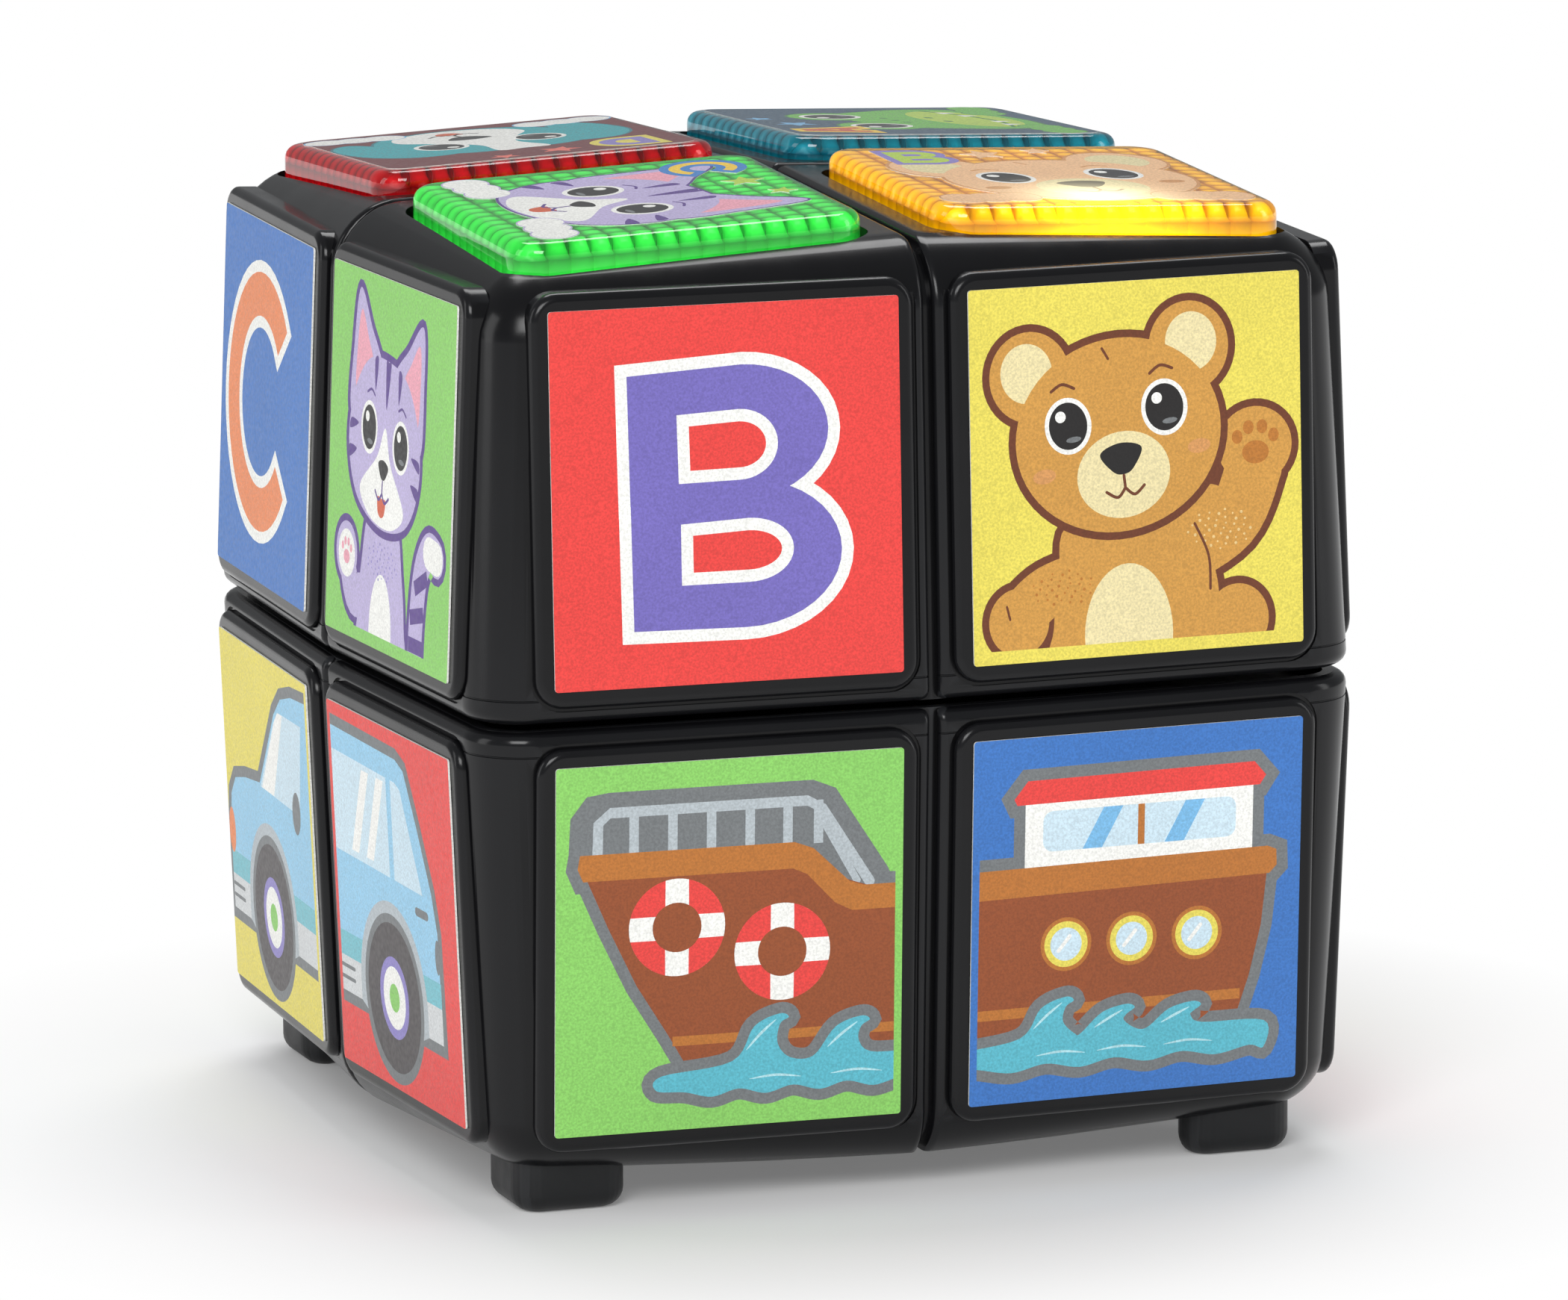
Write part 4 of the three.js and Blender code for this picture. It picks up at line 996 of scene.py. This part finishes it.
def car_half(d, body, glass, wheel_x):
    """The body of one half of the car, its stripe, bumper, window and wheel."""
    wheel_y, arch = -11.4, 12.2
    left, right = body[:, 0].min(), body[:, 0].max()
    grey_behind(d, 1.45, body)
    d.paint("grey", ellipse(wheel_x, wheel_y, 10.9, steps=60))
    d.paint("car", body)
    d.paint("sea", rect(left, -9.4, right, -6.2))
    d.paint("silver", rect(left, -14, right, -9.4))
    end = max(left, -22)
    d.paint("grey", *[line([(end + 0.3, y), (end + 5.6, y)], 0.5) for y in (-10.7, -12.2)])
    d.paint("glass", glass)
    feet_of_arch = [(wheel_x - arch, -14), (wheel_x - 9.4, -15), (wheel_x + 9.4, -15), (wheel_x + arch, -14)]
    d.paint("pale_grey", np.array(arc((wheel_x, wheel_y), arch, 0, 180, 30) + feet_of_arch))
    wheel(d, wheel_x, wheel_y, 9.5, ("lilac", 0.55), ("white", 0.42), ("green", 0.19))


def car_front(d):
    bonnet = [(4.8, 16.2), (1.0, 11.8), (-4.4, 5.6), (-12, 4.9), (-17.4, 3.9), (-20, 1.4), (-21, -3.4)]
    body = poly((24, 20.6), (14, 20.0), (8.6, 18.8), *bonnet, (-21.2, -14), (24, -14))
    car_half(d, body, poly((-4.0, 5.2), (4.4, 15.0), (6.8, 16.8), (18.4, 17), (16, 5)), -0.5)
    d.paint("white", poly((-3.2, 5.2), (4.8, 15.2), (6.8, 16.7), (9.2, 16.8), (3.0, 5.2)))
    d.paint("grey", ellipse(14.2, 5.0, 2.0, 2.8, -8))
    d.paint("orange", ellipse(-20.4, -3.6, 1.6, 3.0))
    cut_off(d, 1, "yellow")


def car_back(d):
    tailgate = [(5.4, 18.6), (9.4, 12.2), (13.6, 4.8), (15.2, 0), (15.6, -14)]
    body = poly((-24, 20), (2.6, 19.6), *tailgate, (-24, -14))
    car_half(d, body, poly((-24, 17), (2.0, 16.6), (3.8, 16.0), (10.4, 3.9), (-24, 4.2)), -1.8)
    d.paint("white", *[poly((x, 5), (x + 2.6, 5), (x + 7.4, 16), (x + 4.8, 16)) for x in (-15.0, -9.6)])
    d.paint("car", rect(-1.2, 3.8, 0.4, 17))
    d.paint("grey", line([(8.0, 1.5), (11.6, 1.5)], 1.1), ellipse(14.9, -3.0, 0.9, 2.2))
    cut_off(d, -1, "red")


def plane_picture(d):
    """An aeroplane in a frame 88 mm wide."""
    tail = flow([(26, 4), (31, 14), (37.6, 16.2), (36.4, 4), (33, -1.5), (26, -1)])
    nose, end = [(-30, -7.6), (-36.6, -5)], [(39, 0.4), (28, -4.4), (8, -8.2), (-14, -9.2)]
    back = [(-38, -1.6), (-35.6, 3.6), (-26, 7.2), (-10, 8.4), (12, 8.0), (30, 5.6), (39, 3.4)]
    body = flow(back + end + nose)
    wing = flow([(-9, -3), (3, -3.2), (15, -15.6), (10.4, -17.2), (4.6, -16.8), (-6.6, -6.6)])
    far_wing = flow([(-5.6, 8), (4.6, 8), (10.6, 14.6), (6.6, 15.4), (2.6, 14.6)])
    d.outlined("orange", "grey", 1.25, tail, far_wing)
    d.outlined("white", "grey", 1.25, body)
    d.paint("orange", tail)
    d.paint("sky", flow([(-37.6, -3.0), (-20, -3.4), (8, -2.8)] + end + nose))
    d.outlined("glass", "grey", 0.5, flow([(-34, 2.2), (-31.6, 4.8), (-26, 6.2), (-25.6, 2.4), (-30, 1.6)]))
    portholes = [ellipse(x, 2.6, 1.7, 1.8) for x in (-19.6, -13.6, -7.6, 6, 12, 18)]
    d.outlined("glass", "deep_sky", 0.4, *portholes)
    d.outlined("orange", "grey", 1.0, wing)
    d.outlined("sun", "grey", 0.8, ellipse(-39.6, 3, 1.1, 4.2), ellipse(-39.6, -6.2, 1.1, 4.2))
    d.outlined("tongue", "grey", 0.8, ellipse(-38.8, -1.6, 1.7))
    for x, y in ((-26, 15), (24, -14), (-24, -16)):
        d.paint("white", ellipse(x, y, 5, 1.8))
        d.paint("white", ellipse(x - 1.6, y + 1.4, 2.4, 2), ellipse(x + 1.6, y + 1, 2, 1.6))


def truck_picture(d):
    """A dump truck in a frame 88 mm wide."""
    bed_top, bed_low = [(2, 10.8), (8, 11.2), (38.4, 12.8), (39.2, 11.4)], [(34.4, -3.6), (32.6, -5)]
    bed = flow(bed_top + bed_low + [(6, -5.2), (2.4, -4.2)])
    cab_front, cab_back = [(-30.6, -9), (-31.6, -2.4), (-29.0, 0.2)], [(-4.6, 12.4), (-3.8, 8), (-3.8, -9)]
    cab = flow(cab_front + [(-26.6, 8.0), (-23.6, 12.6), (-10, 13.4)] + cab_back)
    load = flow([(5, 11), (9, 15.0), (14, 14.4), (18, 18.2), (24, 15.6), (29, 17.2), (35, 12.4), (20, 10.6)])
    window = flow([(-25.4, 1.6), (-23.4, 8.4), (-21, 10.6), (-14.8, 11), (-14.4, 1.4)])
    d.outlined("rim", "grey", 1.25, load)
    d.paint("wood", *[ellipse(x, y, 1.5, 1.0, 20) for x, y in ((12, 13), (18.6, 15.2), (26, 14.2))])
    grey_behind(d, 1.25, bed, cab)
    d.outlined("dark_grey", "grey", 1.25, rect(-34.6, -12.6, 34, -6.4, 1.6))
    d.paint("sun", bed, cab)
    d.paint("orange", *[line([(x, 8.8), (x + 0.8, -2.6)], 1.3) for x in (10.6, 17.4, 24.2)])
    d.paint("orange", line([(4, 9.2), (36.4, 10.4)], 1.2))
    d.outlined("glass", "orange", 0.6, window, rect(-12.0, 1.4, -6.2, 10.8, 1.0))
    d.paint("white", poly((-21.8, 2.4), (-20.2, 2.4), (-17.6, 9.4), (-19.2, 9.4)))
    d.paint("white", ellipse(-31.6, -5.0, 1.3, 2.0))
    d.paint("pale_grey", rect(-37, -12.8, -29.6, -9.0, 1.2))
    for x in (-20.6, 14.0, 28.4):
        wheel(d, x, -13, 6.0, ("dark_grey", 0.8), ("sun", 0.52), ("white", 0.42), ("orange", 0.22))


def half_of(picture, side):
    """The left (-1) or right (1) half of a picture that is two labels wide."""
    return lambda d: picture(d.at(-side * LABEL["width"] / 2))


# ---------------------------------------------------------------- labels and cap pictures

# For each label: its ground, then a letter and its ink, or what draws its picture. Left label first.
LABELS = {
    "upper": {
        "front": [("red", "B", "purple"), ("yellow", bear_picture)],
        "right": [("green", "A", "orange"), ("blue", gator_picture)],
        "back": [("yellow", "D", "teal"), ("red", dog_picture)],
        "left": [("blue", "C", "orange"), ("green", cat_picture)],
    },
    "lower": {
        "front": [("green", boat_bow), ("blue", boat_stern)],
        "right": [("red", half_of(plane_picture, -1)), ("yellow", half_of(plane_picture, 1))],
        "back": [("blue", half_of(truck_picture, -1)), ("green", half_of(truck_picture, 1))],
        "left": [("yellow", car_front), ("red", car_back)],
    },
}


def label_drawing(ground, content, ink=None):
    d = Drawing()
    if ink:
        draw_letter(d, content, ink, "white", ground)
    else:
        content(d)
    return d


def make_labels(material):
    border = np.array(round_square(LABEL["width"], LABEL["height"], LABEL["corner"], 4))
    out = PANEL["proud"] + LABEL["glue"]
    for half, row in (("upper", 1), ("lower", -1)):
        for face, name in enumerate(FACES):
            for column, place, content in zip((-1, 1), ("left", "right"), LABELS[half][name]):
                where = f"{half}_{name}_{place}"
                ground = content[0]
                sheet = print_sheet(where, label_drawing(*content), (border, INK[ground]), 0, LABEL["thick"])
                placed(sheet, face_matrix(face, column, row, out))
                finish_piece(sheet, f"picture_{where}", f"{half}_half", [f"label_{where}"], [material])


def cap_paws(d, ink, edge, y=-15.6):
    """Two paws that hold the bottom edge of a cap's picture."""
    for side in (-1, 1):
        toes = [ellipse(side * (10.4 + 3.6 * i), y - 0.3 * i, 2.9, 2.8) for i in range(3)]
        d.outlined(ink, edge, 0.22, *toes)


# For each cap: its head with other inks for it, the letter and its inks, the stars, the ground and the paws.
CAP_PICTURES = {
    "green": (cat_head, (), "C", ("sun", "deep_sky"), "lime", None, ("white", "lavender")),
    "yellow": (bear_head, ("peach", "clay"), "B", ("lime", "lilac"), "peach", None, ("peach", "clay")),
    "blue": (gator_head, (), "A", ("tongue", "sun"), "sky", "night", ("gator", "gator_dark")),
    "red": (dog_head, (), "D", ("lilac", "yellow"), "rose", "wine", ("white", "sky")),
}
CAP_EDGE = {"green": 0.25, "yellow": 0.3, "blue": 0.25, "red": 0.25}  # width of a head's outline


def cap_drawing(colour):
    """The picture on a cap, about the cap's middle, with +Y as its top."""
    head, head_inks, letter, letter_inks, star_ink, ground, paws = CAP_PICTURES[colour]
    d = Drawing()
    if ground:
        d.paint(ground, rect(-20.4, -20.4, 20.4, 20.4, 2.4))
    head(d.at(1.2, -3.6, 1.5, 8), *head_inks, width=CAP_EDGE[colour])
    cap_paws(d.at(), *paws)
    draw_letter(d.at(-13, 13.6, 0.26), letter, *letter_inks, None, 4.6)
    d.at().paint(star_ink, star(-3.4, 15.4, 2.9, 100), star(4.6, 17.6, 2.0, 80))
    return d


CAP_PRINT = (0.02, 0.1)  # a print's underside and top above its cap


def make_cap_pictures(materials):
    top = MID + TOP + CAP["proud"]
    turns = {"green": -90, "yellow": 0, "blue": 90, "red": 180}
    for colour, signs in QUARTERS.items():
        body = f"button_{colour}"
        sheet = print_sheet(body, cap_drawing(colour), None, *CAP_PRINT)
        fall = math.degrees(math.atan2(signs[1], signs[0])) - 45
        placed(sheet, Matrix.Rotation(math.radians(turns[colour] - fall), 4, "Z"))
        placed(lean_cap(sheet), Matrix.Translation((0, 0, top)))
        placed(sheet, cap_spot(signs))
        finish_piece(sheet, f"cap_print_{colour}", body, (), [materials[colour]])


# ---------------------------------------------------------------- materials

GLOW_FALL = 3  # how steeply a lamp's glow falls off
WORN_EDGE = (0.52, 0.6)  # the sharpness at which an edge starts to look worn, and is fully worn
WORN_INK = "5A5C60"


class Nodes:
    """A short way to write a node material. Positions come from the piece's own coordinates, in metres."""

    def __init__(self, name):
        self.material = bpy.data.materials.new(name)
        self.material.use_nodes = True
        self.tree = self.material.node_tree
        self.shader = self.tree.nodes["Principled BSDF"]
        self.place = self.node("ShaderNodeTexCoord").outputs["Object"]

    def feed(self, socket, value):
        """Gives a socket its value, or links it to the output that feeds it."""
        if isinstance(value, bpy.types.NodeSocket):
            self.tree.links.new(value, socket)
        else:
            socket.default_value = value

    def node(self, kind, inputs=(), **settings):
        """Adds a node, with {name or number: value or output} for its inputs."""
        made = self.tree.nodes.new(kind)
        for key, value in settings.items():
            setattr(made, key, value)
        for key, value in dict(inputs).items():
            self.feed(made.inputs[key], value)
        return made

    def set(self, **values):
        """Feeds the shader's inputs."""
        for key, value in values.items():
            self.feed(self.shader.inputs[key.replace("_", " ")], value)

    def noise(self, size_mm, detail=2.0, rough=0.5):
        """Noise whose blobs are about size_mm across."""
        inputs = {"Vector": self.place, "Scale": 1 / (size_mm * MM), "Detail": detail, "Roughness": rough}
        return self.node("ShaderNodeTexNoise", inputs).outputs["Fac"]

    def spread(self, value, low, high, start=0.3, end=0.7):
        """Brings a value that runs from start to end to the range from low to high."""
        inputs = {"Value": value, "From Min": start, "From Max": end, "To Min": low, "To Max": high}
        return self.node("ShaderNodeMapRange", inputs).outputs["Result"]

    def clouds(self, low, high, size_mm, detail=2.0, rough=0.5):
        """Numbers from low to high, in clouds about size_mm across."""
        return self.spread(self.noise(size_mm, detail, rough), low, high)

    def shade(self, colour, factor):
        """The colour, made lighter or darker by a factor about 1."""
        inputs = {0: colour[:3] if isinstance(colour, tuple) else colour, "Scale": factor}
        return self.node("ShaderNodeVectorMath", inputs, operation="SCALE").outputs["Vector"]

    def mix(self, factor, low, high):
        """One colour where the factor is 0 and the other where it's 1."""
        made = self.node("ShaderNodeMix", data_type="RGBA")
        self.feed(made.inputs["Factor"], factor)
        for socket, colour in zip([one for one in made.inputs if one.type == "RGBA"], (low, high)):
            self.feed(socket, colour)
        return next(socket for socket in made.outputs if socket.type == "RGBA")

    def mix_shader(self, factor, low, high):
        return self.node("ShaderNodeMixShader", {0: factor, 1: low, 2: high}).outputs["Shader"]

    def glow(self, at, reach, low, high):
        """Light that falls off with the distance from a place."""
        away = self.node("ShaderNodeVectorMath", {0: self.place, 1: at}, operation="DISTANCE")
        near = self.spread(away.outputs["Value"], 1, 0, 0, reach)
        fall = self.node("ShaderNodeMath", {0: near, 1: GLOW_FALL}, operation="POWER").outputs["Value"]
        self.set(Emission_Strength=self.spread(fall, low, high, 0, 1))

    def bump(self, *heights):
        """Bumps from (height value, depth in mm) pairs, laid over each other."""
        last = {}
        for value, depth_mm in heights:
            inputs = {"Strength": 1.0, "Distance": depth_mm * MM, "Height": value}
            last = {"Normal": self.node("ShaderNodeBump", inputs | last).outputs["Normal"]}
        self.set(**last)


def moulded(name, code, roughness, grain_mm=0.5, grain_depth=0.004, tint=0.08, worn=0.0, shine=0.5):
    """Moulded plastic or rubber: a fine grain, clouds of roughness, a faint change of tint and worn edges."""
    n = Nodes(name)
    shade = n.shade(rgb(code), n.clouds(1 - tint, 1 + tint, 14, 3))
    if worn:
        edge = n.node("ShaderNodeNewGeometry").outputs["Pointiness"]
        shade = n.mix(n.spread(edge, 0, worn, *WORN_EDGE), shade, rgb(WORN_INK))
    n.set(IOR=1.49, Specular_IOR_Level=shine, Base_Color=shade)
    n.set(Roughness=n.clouds(roughness * 0.8, roughness * 1.25, 9, 4, 0.6))
    n.bump((n.noise(grain_mm), grain_depth), (n.noise(22), 0.03))
    return n.material


def printed(name, grain_depth, roughness, glow_at=None):
    """Ink on a film: colour from the mesh, with the film's speckle and orange peel."""
    n = Nodes(name)
    ink = n.node("ShaderNodeVertexColor", layer_name="Print").outputs["Color"]
    grain = n.noise(0.3, 2, 0.6)
    speckled = n.shade(ink, n.spread(grain, 0.82, 1.09, 0.34, 0.66))
    n.set(IOR=1.46, Base_Color=n.shade(speckled, n.clouds(0.97, 1.03, 20)))
    n.set(Roughness=n.clouds(roughness * 0.85, roughness * 1.2, 0.6))
    n.bump((grain, grain_depth), (n.noise(8), 0.02))
    if glow_at:
        n.set(Emission_Color=rgb("FFF0C0"))
        n.glow(glow_at, 0.02, 0, 2.4)
    return n.material


def clear_plastic(name, code):
    """Clear tinted plastic with faint flow marks."""
    n = Nodes(name)
    n.set(IOR=1.5, Transmission_Weight=1.0, Base_Color=n.shade(rgb(code), n.clouds(0.96, 1.04, 7)))
    n.set(Roughness=n.clouds(0.02, 0.06, 5, 3))
    n.bump((n.noise(12, 1), 0.03))
    return n.material


def bump_plastic(name, top_code, valley_shade_code, glow_at=None):
    """The bumps inside a cap: painted shade between the bumps, a faint painted glow all over, and glowing
    about a lamp.
    """
    n = Nodes(name)
    relief = n.node("ShaderNodeAttribute", attribute_name="Relief").outputs["Fac"]
    # Painted shade: the valley colour between the bumps, the top colour on their tops.
    colour = n.mix(n.spread(relief, 0, 1, 0.25, 0.8), rgb(valley_shade_code), rgb(top_code))
    colour = n.shade(colour, n.clouds(0.9, 1.1, 6))
    # A faint painted glow in the bumps' own colour, everywhere, keeps them bright under the clear body.
    n.set(IOR=1.3, Base_Color=colour, Emission_Color=colour, Emission_Strength=0.12)
    n.set(Roughness=n.clouds(0.1, 0.25, 3))
    n.bump((n.noise(1.5), 0.01))
    if glow_at:
        n.glow(glow_at, 0.022, 0.1, 6.0)
    return n.material


def metal(name, code, roughness=0.32):
    n = Nodes(name)
    n.set(Metallic=1.0, Base_Color=n.shade(rgb(code), n.clouds(0.88, 1.08, 2.5, 3)))
    n.set(Roughness=n.clouds(roughness * 0.7, roughness * 1.5, 1.2, 3))
    n.bump((n.noise(0.3), 0.003))
    return n.material


def lamp_lens(name, code, strength):
    n = Nodes(name)
    n.set(Base_Color=n.shade(rgb("F2F0E6"), n.clouds(0.95, 1.02, 1.0)))
    n.set(Roughness=0.15, Emission_Color=rgb(code), Emission_Strength=strength)
    return n.material


def cad_materials():
    """A material for each slot that CAD nodes keep showing with."""
    return {
        "deck_black": moulded("black_matte", "1B1C1E", 0.5, 0.6, 0.012),
        "circuit_board": moulded("board_green", "1F7A42", 0.38, 1.4, 0.01, 0.14),
        "white_silicone": moulded("silicone_white", "F4F4F0", 0.55, 0.8, 0.006, 0.03),
        "natural_plastic": moulded("natural_plastic", "ECEAE0", 0.42, 0.9, 0.008, 0.05),
        "screw_steel": metal("screw_steel", "C0C1C4"),
        "contact_steel": metal("contact_steel", "D2D2D4", 0.24),
        "finger_bronze": metal("finger_bronze", "D4A060", 0.28),
        "cell_wrap": moulded("cell_wrap", "2F7A50", 0.3, 1.0, 0.006, 0.12),
        "speaker_grey": moulded("speaker_grey", "8C8E90", 0.5, 0.7, 0.02, 0.1),
        "slider_orange": moulded("slider_orange", "F08A2C", 0.36, 0.5, 0.006),
        "lamp_lens": lamp_lens("lamp_off", "FFF0C8", 0.3),
    }


# ---------------------------------------------------------------- stage

# Each light: where it stands, its width and height, and its power, in metres and watts.
LIGHTS = {
    "key": ((-0.7, -1.3, 0.95), (0.8, 0.7), 17),
    "over": ((0.2, 0.7, 1.4), (1.0, 0.6), 12),
    "left_fill": ((-1.5, 0.1, 0.5), (0.5, 1.1), 4),
    "right_fill": ((1.3, -0.7, 0.5), (0.4, 1.0), 3.5),
}
LIGHTS_AIM = (0, 0, 0.06)
FLOOR_SIZE = 9
FLOOR_FADE = (0.075, 0.13)  # metres from the middle where the floor starts and ends its fade
FLOOR_WHITE = (0.16, 1.0)  # how far it has faded to plain white there
SURROUND = (0.3, 1.1)  # strength of the surround for the toy, and for the camera

EYE = (-0.436, -1.2338, 0.2989)
EYE_RIGHT = (0.94221, -0.33499, -0.00442)
EYE_AHEAD = (0.32872, 0.92696, -0.18081)
LENS = dict(length=240, sensor=36)


def white_floor():
    """A pale floor that fades to white, seen from above only."""
    bpy.ops.mesh.primitive_plane_add(size=FLOOR_SIZE)
    floor = bpy.context.object
    floor.name = "floor"
    n = Nodes("pale_floor")
    n.set(Base_Color=n.shade(rgb("F4F4F4"), n.clouds(0.99, 1.01, 400, 1)))
    n.set(Roughness=0.6, Specular_IOR_Level=0.2)
    away = n.node("ShaderNodeVectorMath", {0: n.place}, operation="LENGTH").outputs["Value"]
    white = n.node("ShaderNodeEmission").outputs[0]
    clear = n.node("ShaderNodeBsdfTransparent").outputs[0]
    faded = n.mix_shader(n.spread(away, *FLOOR_WHITE, *FLOOR_FADE), n.shader.outputs["BSDF"], white)
    below = n.node("ShaderNodeNewGeometry").outputs["Backfacing"]
    n.feed(n.tree.nodes["Material Output"].inputs["Surface"], n.mix_shader(below, faded, clear))
    floor.data.materials.append(n.material)


def softbox(name, spot, size, power):
    light = bpy.data.lights.new(name, "AREA")
    light.shape = "RECTANGLE"
    light.size, light.size_y = size
    light.energy = power
    obj = in_scene(name, light)
    obj.location = spot
    obj.rotation_mode = "QUATERNION"
    obj.rotation_quaternion = (Vector(LIGHTS_AIM) - Vector(spot)).to_track_quat("-Z", "Y")


def studio():
    """White all round for the camera, and a dimmer surround for the light that falls on the toy."""
    world = bpy.data.worlds.new("studio")
    bpy.context.scene.world = world
    world.use_nodes = True
    tree = world.node_tree
    surround = tree.nodes["Background"]
    surround.inputs["Color"].default_value = (0.96, 0.98, 1.0, 1)
    seen = tree.nodes.new("ShaderNodeLightPath")
    level = tree.nodes.new("ShaderNodeMapRange")
    level.inputs["To Min"].default_value, level.inputs["To Max"].default_value = SURROUND
    tree.links.new(seen.outputs["Is Camera Ray"], level.inputs["Value"])
    tree.links.new(level.outputs["Result"], surround.inputs["Strength"])
    for name, light in LIGHTS.items():
        softbox(name, *light)
    bpy.context.scene.view_settings.view_transform = "Standard"


def camera():
    """The photograph's viewpoint: a long lens 1.33 m away, 20 degrees round to the left and 10 above."""
    data = bpy.data.cameras.new("camera")
    data.lens = LENS["length"]
    data.sensor_width = LENS["sensor"]
    data.clip_start, data.clip_end = 0.05, 20
    obj = in_scene("camera", data)
    obj.location = EYE
    right, ahead = Vector(EYE_RIGHT).normalized(), Vector(EYE_AHEAD).normalized()
    obj.rotation_mode = "QUATERNION"
    obj.rotation_quaternion = Matrix((right, right.cross(ahead), -ahead)).transposed().to_quaternion()
    bpy.context.scene.camera = obj


# ---------------------------------------------------------------- assembly


SOFT_EDGE = 0.12  # width of the bevels on CAD nodes, in millimetres
LIT_SPOT = 17.0  # how far towards the front the amber lamp's glow is from the middle of its cap


def dress_cad_nodes():
    """Gives each CAD node that stays in view the material of its slot."""
    materials = cad_materials()
    lit = lamp_lens("lamp_lit", "FFD860", 14)
    slots = {row["node"]: row["material_slot"] for row in frame["record"]["subparts"]}
    for name, obj in frame["nodes"].items():
        if obj.hide_render:
            continue
        obj.data.materials.clear()
        obj.data.materials.append(lit if name == "lamp_yellow" else materials[slots[name]])
        bevel = obj.modifiers.new("soft_edges", "BEVEL")
        bevel.width = SOFT_EDGE * MM
        bevel.segments = 2
        bevel.limit_method = "ANGLE"
        bevel.angle_limit = math.radians(40)


def build():
    shell = moulded("shell_gloss_black", "0E0E10", 0.2, 0.45, 0.0015, 0.1, 0.16, 0.27)
    upper_housing([shell])
    lower_housing([shell])
    feet([moulded("foot_black", "111214", 0.45, 0.35, 0.01, 0.1, 0.1, 0.35)])
    lamp_low, lamp_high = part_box("lamp_yellow")
    lit_at = ((lamp_low.x + lamp_high.x) / 2, -(CAP["at"] + LIT_SPOT) * MM, (MID + TOP) * MM)
    dark_ink, lit_ink = printed("cap_ink", 0.003, 0.22), printed("lit_cap_ink", 0.003, 0.22, lit_at)
    clear, inner, ink = {}, {}, {}
    for name, (tint, high, low, lit) in CAP_INKS.items():
        clear[name] = clear_plastic(f"clear_{name}", tint)
        inner[name] = bump_plastic(f"bumps_{name}", high, low, lit_at if lit else None)
        ink[name] = lit_ink if lit else dark_ink
    button_caps(clear, inner)
    make_labels(printed("label_film", 0.012, 0.42))
    make_cap_pictures(ink)
    dress_cad_nodes()


build()
white_floor()
studio()
camera()
